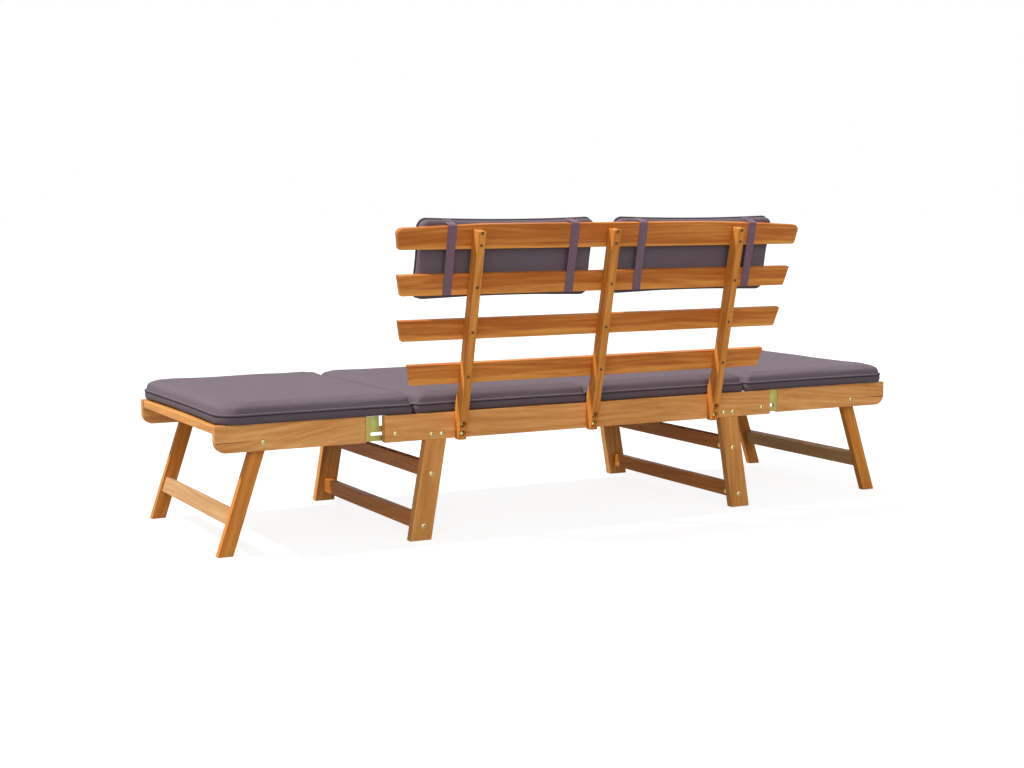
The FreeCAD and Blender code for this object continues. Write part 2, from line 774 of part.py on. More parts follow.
def hinge_plate(side_name, side, rank_name, rank, screws):
    label = f"{side_name}_hinge_plate_{rank_name}"
    corners, bends = plate_profile(side, rank)
    body = new_body(label)
    sketch = draw_outline(body, "XY_Plane", plate_low, corners, bends)
    pad = body.newObject("PartDesign::Pad", label + "_pad")
    pad.Profile = sketch
    bind(pad, "Length", plate_top - plate_low)
    return bored(label, body, plate_cuts(label, side, rank) + [screws])


def wing_rail(side_name, side, rank_name, rank, tools):
    label = f"{side_name}_wing_rail_{rank_name}"
    corner = size("wing_corner")
    points = [(wing_start, rail_low), (wing_end - corner, rail_low), (wing_end, rail_low + corner),
              (wing_end, frame_top), (wing_start, frame_top)]
    bends = {1: (corner, side * (wing_end - corner), rail_low + corner)}
    body = new_body(label)
    layer_between(body, rank, wing_inner, wing_outer, [(side * x, z) for x, z in points], bends)
    return bored(label, body, tools)


def leg_frame_point(side, out, down):
    """X and Z of a point on a wing leg, from its way out of the leg's middle line and down it."""
    x = wing_leg_pivot + down * sine(wing_lean) + out * cosine(wing_lean)
    z = leg_pivot_height - down * cosine(wing_lean) + out * sine(wing_lean)
    return side * x, z


def wing_leg(side_name, side, rank_name, rank, dowels):
    """The top is a quarter round inboard and a square corner outboard that stops under a board."""
    label = f"{side_name}_wing_leg_{rank_name}"

    def foot(out):
        return -(leg_pivot_height + out * sine(wing_lean)) / cosine(wing_lean)

    points = [(-half_leg, 0), (0, half_leg), (half_leg, half_leg),
              (half_leg, foot(half_leg)), (-half_leg, foot(-half_leg))]
    corners = [(side * as_size(out), up) for out, up in points]
    hole = (0, 0, size("leg_bolt_diameter") + 2 * size("running_gap"))
    body = new_body(label)
    far = across(rank, wing_leg_outer if rank == REAR else wing_leg_inner)
    add_layer(body, far, size("wing_leg_thick"), corners, {0: (half_leg, 0, 0)}, [hole])
    place(body, side * wing_leg_pivot, 0, leg_pivot_height, ALONG_Y, -side * wing_lean)
    return bored(label, body, [dowels])


def wing_stretcher(side_name, side, dowels):
    label = f"{side_name}_wing_stretcher"
    out = size("wing_stretcher_offset")
    half_thick = size("wing_stretcher_thick") / 2
    up = -size("wing_stretcher_distance")
    half_tall = size("wing_stretcher_height") / 2
    points = [(out - half_thick, up - half_tall), (out + half_thick, up - half_tall),
              (out + half_thick, up + half_tall), (out - half_thick, up + half_tall)]
    corners = [(side * x, z) for x, z in points]
    body = add_layer(new_body(label), across(REAR, wing_leg_inner), 2 * wing_leg_inner, corners)
    place(body, side * wing_leg_pivot, 0, leg_pivot_height, ALONG_Y, -side * wing_lean)
    return bored(label, body, [dowels])


for side_name, side in SIDES:
    first, last = wing_start + size("wing_boards_inset"), wing_boards_end
    if side == RIGHT:
        first, last = -last, -first
    boards = board_row(side_name + "_wing_boards", WING_BOARDS, first, last, wing_inner)
    tail_middle = (plate_low + board_low - size("board_drop")) / 2
    plate_screws = copies(side_name + "_plate_screws", plate_screw, [
        (side * (wing_start + size("plate_screw_first") + index * size("plate_screw_pitch")),
         across(rank, tail_inner), tail_middle, ALONG_X, -TOWARDS[rank])
        for rank in (REAR, FRONT) for index in range(3)])
    leg_pivot = (side * wing_leg_pivot, leg_pivot_height)
    swing_bolts = copies(side_name + "_leg_pivot_bolt_row", swing_bolt, [
        (leg_pivot[0], across(rank, wing_outer), leg_pivot[1], ALONG_X, TOWARDS[rank])
        for rank in (REAR, FRONT)])
    swing_spacers = copies(side_name + "_leg_pivot_spacer_row", swing_spacer, [
        (leg_pivot[0], across(rank, wing_inner), leg_pivot[1], ALONG_X, TOWARDS[rank])
        for rank in (REAR, FRONT)])
    swing_nuts = copies(side_name + "_leg_pivot_nut_row", swing_nut, [
        (leg_pivot[0], across(rank, wing_leg_inner), leg_pivot[1], ALONG_X, TOWARDS[rank])
        for rank in (REAR, FRONT)])
    wing_pivot = (side * pivot_reach, size("pivot_height"))
    pivot_sets = []
    for part_name, master, face in (("bolt", pivot_bolt, half_depth), ("washer", pivot_washer, rail_inner),
                                    ("nut", pivot_nut, plate_inner)):
        pivot_sets.append(copies(f"{side_name}_wing_pivot_{part_name}_row", master, [
            (wing_pivot[0], across(rank, face), wing_pivot[1], ALONG_X, TOWARDS[rank])
            for rank in (REAR, FRONT)]))
    dowel_tip = wing_leg_inner + size("dowel_bite") - size("dowel_length")
    dowel_points = [leg_frame_point(side, size("wing_stretcher_offset"),
                                    size("wing_stretcher_distance") + way * size("dowel_spread"))
                    for way in (-1, 1)]
    dowels = copies(side_name + "_wing_stretcher_dowels", dowel, [
        (x, across(rank, dowel_tip), z, ALONG_X, TOWARDS[rank])
        for rank in (REAR, FRONT) for x, z in dowel_points])
    keep(boards, plate_screws, dowels)
    keep(gather(side_name + "_wing_pivot_bolts", pivot_sets))
    keep(gather(side_name + "_leg_pivot_bolts", [swing_bolts, swing_spacers, swing_nuts]))
    keep(wing_stretcher(side_name, side, dowels))
    for rank_name, rank in RANKS:
        keep(wing_rail(side_name, side, rank_name, rank, [boards, swing_bolts, plate_screws]))
        keep(hinge_plate(side_name, side, rank_name, rank, plate_screws))
        keep(wing_leg(side_name, side, rank_name, rank, dowels))

# Cushions: a flat base, a low piped seam all round, steep sides above it and a nearly flat top

# Levels of the crown above the seam, as parts of its height: how far in they lie, how far up
CROWN_LEVELS = ((0.03, 0.35), (0.12, 0.65), (0.4, 0.88), (0.8, 0.95))
# Flatter levels near the middle: how far in as parts of the shorter side, how far up the crown
MIDDLE_LEVELS = ((0.12, 0.985), (0.25, 1.0))
# A corner's radius shrinks with the inset by this part of it, but stays above this much of it
CORNER_SHRINK = 0.7
CORNER_LEAST = 1.5


def number(alias):
    return size(alias).number


def pillow_outline(length, width, corner, draw_in, inset, height):
    """A closed outline with rounded corners, its sides drawn in between them."""
    half_length = length / 2 - inset
    half_width = width / 2 - inset
    turn = max(corner, CORNER_LEAST * inset) - CORNER_SHRINK * inset
    quarter = math.pi / 4
    arc_points = []
    for sign_x, sign_y in ((1, -1), (1, 1), (-1, 1), (-1, -1)):
        centre = FreeCAD.Vector(sign_x * (half_length - turn), sign_y * (half_width - turn), height)
        beside = FreeCAD.Vector(sign_x * half_length, sign_y * (half_width - turn), height)
        tip = centre + FreeCAD.Vector(sign_x, sign_y, 0) * turn * math.cos(quarter)
        beyond = FreeCAD.Vector(sign_x * (half_length - turn), sign_y * half_width, height)
        ends = (beyond, tip, beside) if sign_x * sign_y < 0 else (beside, tip, beyond)
        arc_points.append(ends)
    edges = []
    for index, (first_end, tip, second_end) in enumerate(arc_points):
        edges.append(Part.Arc(first_end, tip, second_end).toShape())
        after = arc_points[(index + 1) % 4][0]
        middle = (second_end + after) / 2
        inward = FreeCAD.Vector(-middle.x, -middle.y, 0).normalize() * draw_in
        edges.append(Part.Arc(second_end, middle + inward, after).toShape())
    return Part.Wire(edges)


def pillow(length, width, thick, seam, corner, draw_in):
    """A closed cushion that lies flat on Z = 0 with the middle of its base at the origin."""
    piping = number("pad_piping")
    base_round = number("pad_base_round")
    crown = thick - seam
    levels = [(base_round, 0), (base_round / 2, base_round - piping), (piping, seam / 2),
              (piping, seam - piping), (0, seam), (piping, seam + piping)]
    levels += [(piping + inward * crown, seam + upward * crown) for inward, upward in CROWN_LEVELS]
    levels += [(inward * min(length, width), seam + upward * crown) for inward, upward in MIDDLE_LEVELS]
    outlines = [pillow_outline(length, width, corner, draw_in, inset, height) for inset, height in levels]
    return Part.makeLoft(outlines, True, True)


def soft_piece(label, shape, placement):
    piece = doc.addObject("Part::Feature", label)
    piece.Label = label
    piece.Shape = shape
    piece.Placement = placement
    return piece


pad_pitch = (wing_end - size("pad_end_inset")).number / 2
pad_length = pad_pitch - 2 * number("pad_seam_gap")
pad_rear = half_depth - size("pad_setback")
pad_front = -half_depth - size("pad_overhang")
seat_pad = pillow(pad_length, (pad_rear - pad_front).number, number("pad_thick"), number("pad_seam_height"),
                  number("pad_corner"), number("pad_draw_in"))
pad_y = (seat_middle + (pad_rear + pad_front) / 2).number
pad_z = number("frame_top") + number("pad_lift")
PADS = (("left_wing_cushion", 1.5), ("seat_cushion_left", 0.5),
        ("seat_cushion_right", -0.5), ("right_wing_cushion", -1.5))
for label, pitches in PADS:
    spot = FreeCAD.Vector(pitches * pad_pitch, pad_y, pad_z)
    keep(soft_piece(label, seat_pad.copy(), FreeCAD.Placement(spot, FreeCAD.Rotation())))

# Small cushions lean on the two upper boards of the backrest, held by straps round both boards

back_pad_outer_end = half_rail - size("back_pad_outer_inset")
back_pad_width = back_pad_outer_end - size("back_pad_inner_reach")
back_pad_middle = (back_pad_outer_end + size("back_pad_inner_reach")) / 2
back_pad = pillow(back_pad_width.number, number("back_pad_height"), number("back_pad_thick"),
                  number("back_pad_seam_height"), number("back_pad_corner"), number("pad_draw_in"))
rest_normal = -(size("back_board_thick") + size("pad_lift"))
seam_normal = rest_normal - size("back_pad_seam_height")
pad_low_slope = (size("back_pad_low") + seam_normal * sine(lean)) / cosine(lean)
pad_slope = pad_low_slope + size("back_pad_height") / 2
pad_spot_y, pad_spot_z = on_back(rest_normal, pad_slope)
upright = FreeCAD.Rotation(ALONG_X, 90 - number("back_lean"))
# They were pushed a little to the sitter's left, the right one the most, and their straps with them
for side_name, side, shift in (("left", LEFT, 0), ("right", RIGHT, number("right_back_pad_shift"))):
    spot = FreeCAD.Vector(side * back_pad_middle.number + shift, pad_spot_y.number, pad_spot_z.number)
    keep(soft_piece("back_cushion_" + side_name, back_pad.copy(), FreeCAD.Placement(spot, upright)))

# A strap starts at the top seam, goes over the top board, down behind the two upper boards
# and back under the lower of them to the bottom seam
gap = size("pad_lift")
thick = size("strap_thick")
strap_low = back_boards[2][2] - gap
pad_top_slope = pad_low_slope + size("back_pad_height")
fall = size("strap_fall")


def strap_section(board_fall):
    """The strap's section where the top board has fallen a little from its highest line."""
    strap_top = back_boards[3][3] - board_fall + gap
    return [
        (seam_normal, pad_top_slope + gap),
        (seam_normal, pad_top_slope + gap + thick),
        (rest_normal, pad_top_slope - fall + thick),
        (gap + thick, strap_top + thick),
        (gap + thick, strap_low - thick),
        (rest_normal, pad_low_slope + fall - thick),
        (seam_normal, pad_low_slope - gap - thick),
        (seam_normal, pad_low_slope - gap),
        (rest_normal, pad_low_slope + fall),
        (gap, strap_low),
        (gap, strap_top),
        (rest_normal, pad_top_slope - fall),
    ]


outer_reach = post_reach + size("strap_post_gap")
outer_run = outer_reach - size("strap_shift") - size("strap_width") / 2 - level_reach
outer_fall = outer_run * outer_run / (2 * fall_radius)
straps = (("outer", outer_reach, outer_fall),
          ("inner", size("back_pad_inner_reach") + size("strap_inner_inset"), as_size(0)))
for side_name, side in SIDES:
    for reach_name, reach, board_fall in straps:
        label = f"cushion_strap_{side_name}_{reach_name}"
        strap_start = side * reach + size("strap_shift") - size("strap_width") / 2
        body = add_bar(new_body(label), strap_start, size("strap_width"), strap_section(board_fall))
        keep(place(body, 0, back_plane, 0, ALONG_X, -lean))

# Every piece is checked before any is written

doc.recompute()
for thing in doc.Objects:
    if "Invalid" in thing.State or "Error" in thing.State:
        raise RuntimeError(f"{thing.Label} did not compute: {thing.State}")
for piece in kept:
    if piece.Shape.isNull() or not piece.Shape.isValid():
        raise RuntimeError(f"{piece.Label} has no valid shape")
    if not piece.Shape.Solids:
        raise RuntimeError(f"{piece.Label} has no solid")
for piece in kept:
    piece.Shape.exportStep(f"parts/{piece.Label}.step")
print(len(kept), "pieces written")
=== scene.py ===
import bmesh
import bpy
import math
from mathutils import Matrix, Vector, noise


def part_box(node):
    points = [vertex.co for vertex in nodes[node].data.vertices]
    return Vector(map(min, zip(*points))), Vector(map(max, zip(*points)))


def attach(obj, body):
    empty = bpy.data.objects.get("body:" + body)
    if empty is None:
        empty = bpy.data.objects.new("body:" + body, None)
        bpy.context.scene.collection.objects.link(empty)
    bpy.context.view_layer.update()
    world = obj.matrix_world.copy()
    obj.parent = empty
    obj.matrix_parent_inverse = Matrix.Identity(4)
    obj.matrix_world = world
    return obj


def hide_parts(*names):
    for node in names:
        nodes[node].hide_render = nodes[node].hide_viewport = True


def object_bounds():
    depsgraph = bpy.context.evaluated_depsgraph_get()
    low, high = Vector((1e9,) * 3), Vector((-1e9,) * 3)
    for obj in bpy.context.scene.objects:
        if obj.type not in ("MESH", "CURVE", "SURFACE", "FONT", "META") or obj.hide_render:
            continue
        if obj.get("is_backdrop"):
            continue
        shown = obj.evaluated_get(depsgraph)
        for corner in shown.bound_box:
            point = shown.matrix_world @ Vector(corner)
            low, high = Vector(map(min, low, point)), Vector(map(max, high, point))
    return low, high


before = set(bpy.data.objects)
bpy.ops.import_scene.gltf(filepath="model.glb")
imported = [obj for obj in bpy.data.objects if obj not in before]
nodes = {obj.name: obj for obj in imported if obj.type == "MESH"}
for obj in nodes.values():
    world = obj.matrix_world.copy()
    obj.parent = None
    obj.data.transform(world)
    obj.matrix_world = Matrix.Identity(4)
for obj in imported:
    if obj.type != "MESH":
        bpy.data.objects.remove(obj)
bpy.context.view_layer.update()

# Seat rails: two long acacia boards stood on edge, one behind and one in front, planed and oiled,
# with every edge eased by hand. Seat boards and legs are let into them, posts and wings are bolted on.

SIDES = (("left", 1), ("right", -1))
RANKS = ("rear", "front")
EASED_EDGE = 0.0013
RING_SPACING = 0.0095
# A wave pattern of scale 1 repeats after this many metres
WAVE_REPEAT = 0.314
RAIL_TONES = ("#B9743A", "#D89653", "#F5BD78")


def linear(colour):
    """The linear red, green, blue and full cover that a written sRGB hex colour stands for."""
    channels = [int(colour[place:place + 2], 16) / 255 for place in (1, 3, 5)]
    bright = [c / 12.92 if c <= 0.04045 else ((c + 0.055) / 1.055) ** 2.4 for c in channels]
    return (*bright, 1.0)


def add_node(tree, kind, settings, sockets, stops=()):
    """A new node with its settings; each socket takes a number or the output that feeds it."""
    node = tree.nodes.new(kind)
    for name, value in settings.items():
        setattr(node, name, value)
    for name, value in sockets.items():
        if isinstance(value, bpy.types.NodeSocket):
            tree.links.new(value, node.inputs[name])
        else:
            node.inputs[name].default_value = value
    for index, (place, colour) in enumerate(stops):
        elements = node.color_ramp.elements
        stop = elements[index] if index < len(elements) else elements.new(place)
        stop.position = place
        stop.color = linear(colour)
    return node


def new_material(name):
    """An empty material and its node tree, with the surface shader and the output joined."""
    material = bpy.data.materials.new(name)
    material.use_nodes = True
    tree = material.node_tree
    tree.nodes.clear()
    surface = tree.nodes.new("ShaderNodeBsdfPrincipled")
    output = tree.nodes.new("ShaderNodeOutputMaterial")
    tree.links.new(surface.outputs["BSDF"], output.inputs["Surface"])
    return material, tree, surface


def stretched(tree, vector, scales):
    """The same place with each axis scaled: by 20, a pattern gets spots of a twentieth of a metre."""
    return add_node(tree, "ShaderNodeVectorMath", {"operation": "MULTIPLY"}, {
        0: vector, 1: scales}).outputs[0]


def weighted_sum(tree, start, parts):
    """A number that starts somewhere and takes on each part by its own weight."""
    total = start
    for part, weight in parts:
        total = add_node(tree, "ShaderNodeMath", {"operation": "MULTIPLY_ADD"}, {
            0: part, 1: weight, 2: total}).outputs[0]
    return total


def oiled_acacia(name, along, seed, tones, by_board=False, slant=1.5, sapwood=0.0):
    """Planed hardwood under oil: soft growth rings, fine fibres, and streaks where the oil went in."""
    material, tree, surface = new_material(name)
    low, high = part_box(name)
    # The fibres run a few degrees off the length of the board, as in most sawn boards
    askew = Matrix.Rotation(math.radians(slant), 3, "Y") @ Matrix.Rotation(math.radians(slant / 3), 3, "Z")
    turn = askew @ Vector(along).rotation_difference(Vector((1.0, 0.0, 0.0))).to_matrix()
    # The heart of the log lies outside the board, so that its rings draw long arches on the face
    heart = Vector((0.61 * seed, 0.055 + 0.021 * (seed % 4), 0.062 - 0.017 * (seed % 3)))
    shift = heart - turn @ ((low + high) / 2)
    place = add_node(tree, "ShaderNodeTexCoord", {}, {})
    grain = add_node(tree, "ShaderNodeMapping", {}, {
        "Vector": place.outputs["Object"], "Rotation": turn.to_euler(), "Location": shift}).outputs[0]
    if by_board:
        island = add_node(tree, "ShaderNodeNewGeometry", {}, {}).outputs["Random Per Island"]
        jump = add_node(tree, "ShaderNodeVectorMath", {"operation": "SCALE"}, {
            0: (9.7, 0.31, 0.17), "Scale": island}).outputs[0]
        grain = add_node(tree, "ShaderNodeVectorMath", {"operation": "ADD"}, {0: grain, 1: jump}).outputs[0]
    # Sway bends the rings and streaks over a hand's length. Patches, where the oil went in deeper, are
    # some 50 mm wide and 300 mm long, streaks 10 mm and 280 mm, and fibres 2 mm and 80 mm
    sway = add_node(tree, "ShaderNodeTexNoise", {}, {
        "Vector": stretched(tree, grain, (2.4, 9.0, 9.0)), "Scale": 1.0, "Detail": 1.0}).outputs["Color"]
    swayed = add_node(tree, "ShaderNodeVectorMath", {"operation": "MULTIPLY_ADD"}, {
        0: sway, 1: (0.0, 0.05, 0.05), 2: grain}).outputs[0]
    rings = add_node(tree, "ShaderNodeTexWave", {
        "wave_type": "RINGS", "rings_direction": "X", "wave_profile": "SIN"}, {
        "Vector": swayed, "Scale": WAVE_REPEAT / RING_SPACING, "Distortion": 1.1, "Detail": 2.0,
        "Detail Scale": 2.0}).outputs["Fac"]
    patches = add_node(tree, "ShaderNodeTexNoise", {}, {
        "Vector": stretched(tree, grain, (3.2, 21.0, 21.0)), "Scale": 1.0, "Detail": 2.0}).outputs["Fac"]
    streaks = add_node(tree, "ShaderNodeTexNoise", {}, {
        "Vector": stretched(tree, swayed, (3.6, 95.0, 95.0)), "Scale": 1.0, "Detail": 3.0,
        "Roughness": 0.55}).outputs["Fac"]
    fibres = add_node(tree, "ShaderNodeTexNoise", {}, {
        "Vector": stretched(tree, grain, (13.0, 520.0, 520.0)), "Scale": 1.0, "Detail": 2.0,
        "Roughness": 0.6}).outputs["Fac"]
    parts = [(rings, 0.12), (patches, 0.55), (streaks, 0.8), (fibres, 0.3)]
    if by_board:
        parts.append((island, 0.2))
    if sapwood > 0:
        # Paler sapwood along the lower edge of the board, its border as wavy as the rings
        spot = add_node(tree, "ShaderNodeSeparateXYZ", {}, {"Vector": place.outputs["Object"]}).outputs["Z"]
        rise = add_node(tree, "ShaderNodeMapRange", {"clamp": False}, {
            "Value": spot, "From Min": low.z, "From Max": high.z}).outputs[0]
        rise = weighted_sum(tree, rise, [(patches, 0.7)])
        pale = add_node(tree, "ShaderNodeMapRange", {"interpolation_type": "SMOOTHSTEP"}, {
            "Value": rise, "From Min": 0.27 + sapwood, "From Max": 0.42 + sapwood, "To Min": 1.0,
            "To Max": 0.0}).outputs[0]
        parts.append((pale, 0.3))
    tone = weighted_sum(tree, -0.39, parts)
    colour = add_node(tree, "ShaderNodeValToRGB", {}, {"Fac": tone}, [
        (0.15, tones[0]), (0.9, tones[2]), (0.5, tones[1])]).outputs["Color"]
    # Open pores are dark dashes 17 mm long, drawn about twice as wide as the real 0.3 mm
    pores = add_node(tree, "ShaderNodeTexNoise", {}, {
        "Vector": stretched(tree, grain, (60.0, 1500.0, 1500.0)), "Scale": 1.0, "Detail": 1.0}).outputs["Fac"]
    pores = add_node(tree, "ShaderNodeMapRange", {}, {
        "Value": pores, "From Min": 0.62, "From Max": 0.72, "To Min": 1.0, "To Max": 0.8}).outputs[0]
    # Sawn ends drink more oil and turn darker
    facing = add_node(tree, "ShaderNodeMapping", {"vector_type": "VECTOR"}, {
        "Vector": place.outputs["Normal"], "Rotation": turn.to_euler()}).outputs[0]
    facing = add_node(tree, "ShaderNodeSeparateXYZ", {}, {"Vector": facing}).outputs["X"]
    facing = add_node(tree, "ShaderNodeMath", {"operation": "ABSOLUTE"}, {0: facing}).outputs[0]
    ends = add_node(tree, "ShaderNodeMapRange", {}, {
        "Value": facing, "From Min": 0.75, "From Max": 0.95, "To Min": 1.0, "To Max": 0.88}).outputs[0]
    shade = add_node(tree, "ShaderNodeMath", {"operation": "MULTIPLY"}, {0: pores, 1: ends}).outputs[0]
    shaded = add_node(tree, "ShaderNodeVectorMath", {"operation": "SCALE"}, {
        0: colour, "Scale": shade}).outputs[0]
    tree.links.new(shaded, surface.inputs["Base Color"])
    sheen = add_node(tree, "ShaderNodeMapRange", {}, {
        "Value": fibres, "From Min": 0.3, "From Max": 0.7, "To Min": 0.5, "To Max": 0.66}).outputs[0]
    tree.links.new(sheen, surface.inputs["Roughness"])
    relief = weighted_sum(tree, pores, [(fibres, 0.5)])
    bump = add_node(tree, "ShaderNodeBump", {}, {
        "Strength": 0.35, "Distance": 0.0005, "Height": relief}).outputs["Normal"]
    tree.links.new(bump, surface.inputs["Normal"])
    surface.inputs["IOR"].default_value = 1.47
    surface.inputs["Specular IOR Level"].default_value = 0.25
    return material


def finish_node(name, material, edge):
    """Give a CAD piece its finish; its sharp edges are eased by a small round where edge isn't 0."""
    piece = nodes[name]
    piece.data.materials.clear()
    piece.data.materials.append(material)
    if edge > 0:
        weld = piece.modifiers.new("one skin", "WELD")
        weld.merge_threshold = 0.00001
        flat = piece.modifiers.new("whole faces", "DECIMATE")
        flat.decimate_type = "DISSOLVE"
        flat.angle_limit = math.radians(1)
        ease = piece.modifiers.new("eased edges", "BEVEL")
        ease.width = edge
        ease.segments = 2
        ease.limit_method = "ANGLE"
        ease.angle_limit = math.radians(50)
        ease.use_clamp_overlap = False
        ease.harden_normals = False
        ease.miter_outer = "MITER_ARC"
        shade = piece.modifiers.new("flat faces", "WEIGHTED_NORMAL")
        shade.keep_sharp = False
    return piece


for seed, rank_name in enumerate(RANKS):
    rail = f"seat_rail_{rank_name}"
    finish_node(rail, oiled_acacia(rail, (1, 0, 0), seed + 1, RAIL_TONES, slant=2.5), EASED_EDGE)

# Seat boards: thirteen acacia slats that run from front to back under the cushions, with tenons in
# the inner faces of the rails.

SLAT_TONES = ("#B5732F", "#D08E44", "#E8B266")
finish_node("seat_boards", oiled_acacia("seat_boards", (0, 1, 0), 5, SLAT_TONES, True), EASED_EDGE)

# Seat legs: four flat legs that lean outwards to the floor, halved into the rails at the top and
# bolted. Two flat stretchers stood on edge between each pair are drawn up by bolts and barrel nuts.

SEAT_LEG_LEAN = math.radians(9.73)
LEG_TONES = ("#AF6B2F", "#CF8D47", "#F0B266")
STRETCHER_TONES = ("#A0561C", "#BE7227", "#DC9238")
for place, (side_name, side) in enumerate(SIDES):
    upward = (-side * math.sin(SEAT_LEG_LEAN), 0, math.cos(SEAT_LEG_LEAN))
    for order, rank_name in enumerate(RANKS):
        leg = f"seat_leg_{side_name}_{rank_name}"
        finish_node(leg, oiled_acacia(leg, upward, 7 + 2 * place + order, LEG_TONES), EASED_EDGE)
    for order, level in enumerate(("upper", "lower")):
        bar = f"seat_stretcher_{side_name}_{level}"
        wood = oiled_acacia(bar, (0, 1, 0), 12 + 2 * place + order, STRETCHER_TONES)
        finish_node(bar, wood, EASED_EDGE)

# Backrest: three posts are bolted to the outer face of the rear rail and lean back. Four boards lie on
# their front edges, the top one wider, and are screwed on from behind.

BACK_LEAN = math.radians(12.43)
BOARD_TONES = ("#A15316", "#BC6C29", "#E59A48")
POST_TONES = ("#AD5F21", "#CE8436", "#F7AD54")
for seed, name in enumerate(("left", "middle", "right")):
    post = f"backrest_post_{name}"
    upward = (0, math.sin(BACK_LEAN), math.cos(BACK_LEAN))
    finish_node(post, oiled_acacia(post, upward, 17 + seed, POST_TONES), EASED_EDGE)
for seed, (name, sapwood) in enumerate((("lowest", 0.35), ("second", 0.28), ("third", 0.31), ("top", 0.14))):
    board = f"backrest_board_{name}"
    wood = oiled_acacia(board, (1, 0, 0), 21 + seed, BOARD_TONES, slant=0.6, sapwood=sapwood)
    finish_node(board, wood, EASED_EDGE)

# Wings: at each end two rails and five boards make a shelf that swings up on its hinge plates. Two
# legs with a stretcher between them fold up into it on their own bolts.

WING_LEG_LEAN = math.radians(18.5)
WING_LEG_TONES = ("#AD5D17", "#CA7D2D", "#E09F4E")
WING_STRETCHER_TONES = ("#A07140", "#BB8C58", "#CEAB7C")
for place, (side_name, side) in enumerate(SIDES):
    upward = (-side * math.sin(WING_LEG_LEAN), 0, math.cos(WING_LEG_LEAN))
    for order, rank_name in enumerate(RANKS):
        rail = f"{side_name}_wing_rail_{rank_name}"
        slant = -side * (8 - 4 * order)
        wood = oiled_acacia(rail, (1, 0, 0), 26 + 2 * place + order, RAIL_TONES, slant=slant)
        finish_node(rail, wood, EASED_EDGE)
        leg = f"{side_name}_wing_leg_{rank_name}"
        finish_node(leg, oiled_acacia(leg, upward, 31 + 2 * place + order, WING_LEG_TONES), EASED_EDGE)
    slats = f"{side_name}_wing_boards"
    finish_node(slats, oiled_acacia(slats, (0, 1, 0), 36 + place, SLAT_TONES, True), EASED_EDGE)
    bar = f"{side_name}_wing_stretcher"
    finish_node(bar, oiled_acacia(bar, (0, 1, 0), 39 + place, WING_STRETCHER_TONES), EASED_EDGE)
    pegs = f"{side_name}_wing_stretcher_dowels"
    finish_node(pegs, oiled_acacia(pegs, (0, 1, 0), 42 + place, STRETCHER_TONES), 0)

# Hinge plates: four slotted plates pressed from 3 mm steel. The wing hangs on them, and they slide and
# turn on a bolt through the seat rail. The passivated zinc is straw yellow and greener where it is thick.

# Where the film is greenest, in X and Z, and how far the green reaches
PLATE_GREEN_PLACE = (0.568, 0.281)
PLATE_GREEN_REACH = (0.020, 0.034)
PLATE_EDGE = 0.0004


def zinc_yellow_steel(name, green_spot):
    """Steel plated with zinc and passivated yellow: a thin matt film that shifts from straw to green."""
    material, tree, surface = new_material(name)
    place = add_node(tree, "ShaderNodeTexCoord", {}, {}).outputs["Object"]
    clouds = add_node(tree, "ShaderNodeTexNoise", {}, {
        "Vector": place, "Scale": 60.0, "Detail": 2.0, "Distortion": 0.6}).outputs["Fac"]
    away = add_node(tree, "ShaderNodeVectorMath", {"operation": "SUBTRACT"}, {
        0: place, 1: green_spot}).outputs[0]
    away = stretched(tree, away, (1 / PLATE_GREEN_REACH[0], 0.0, 1 / PLATE_GREEN_REACH[1]))
    away = add_node(tree, "ShaderNodeVectorMath", {"operation": "LENGTH"}, {0: away}).outputs["Value"]
    film = weighted_sum(tree, away, [(clouds, 0.9)])
    film = add_node(tree, "ShaderNodeValToRGB", {}, {"Fac": film}, [
        (0.5, "#93AF5B"), (1.0, "#9F9455"), (0.8, "#A3A35C")]).outputs["Color"]
    tree.links.new(film, surface.inputs["Base Color"])
    surface.inputs["Metallic"].default_value = 1.0
    surface.inputs["Roughness"].default_value = 0.55
    return material


for side_name, side in SIDES:
    for rank_name in RANKS:
        green_spot = (side * PLATE_GREEN_PLACE[0], 0.0, PLATE_GREEN_PLACE[1])
        film = zinc_yellow_steel(f"zinc_yellow_steel_{side_name}_{rank_name}", green_spot)
        finish_node(f"{side_name}_hinge_plate_{rank_name}", film, PLATE_EDGE)

# Fasteners: domed bolts with a hexagon socket, flanged nuts, barrel nuts and countersunk screws, all
# of plated steel. Heads are seen on the rails, legs and posts. Dowels in the wing legs don't show.

SOCKET_FLATS = 0.0045
SOCKET_DEPTH = 0.0016
# A solid that is shorter than this is a nut, washer or spacer and has no socket
BOLT_LEAST_LENGTH = 0.02


def plated_steel(name, dark, light):
    """Zinc plate with a pale brass cast, gone dull outdoors."""
    material, tree, surface = new_material(name)
    place = add_node(tree, "ShaderNodeTexCoord", {}, {}).outputs["Object"]
    clouds = add_node(tree, "ShaderNodeTexNoise", {}, {
        "Vector": place, "Scale": 150.0, "Detail": 2.0}).outputs["Fac"]
    cast = add_node(tree, "ShaderNodeValToRGB", {}, {"Fac": clouds}, [
        (0.3, dark), (0.7, light)]).outputs["Color"]
    tree.links.new(cast, surface.inputs["Base Color"])
    dull = add_node(tree, "ShaderNodeMapRange", {}, {
        "Value": clouds, "From Min": 0.3, "From Max": 0.7, "To Min": 0.3, "To Max": 0.5}).outputs[0]
    tree.links.new(dull, surface.inputs["Roughness"])
    surface.inputs["Metallic"].default_value = 1.0
    return material


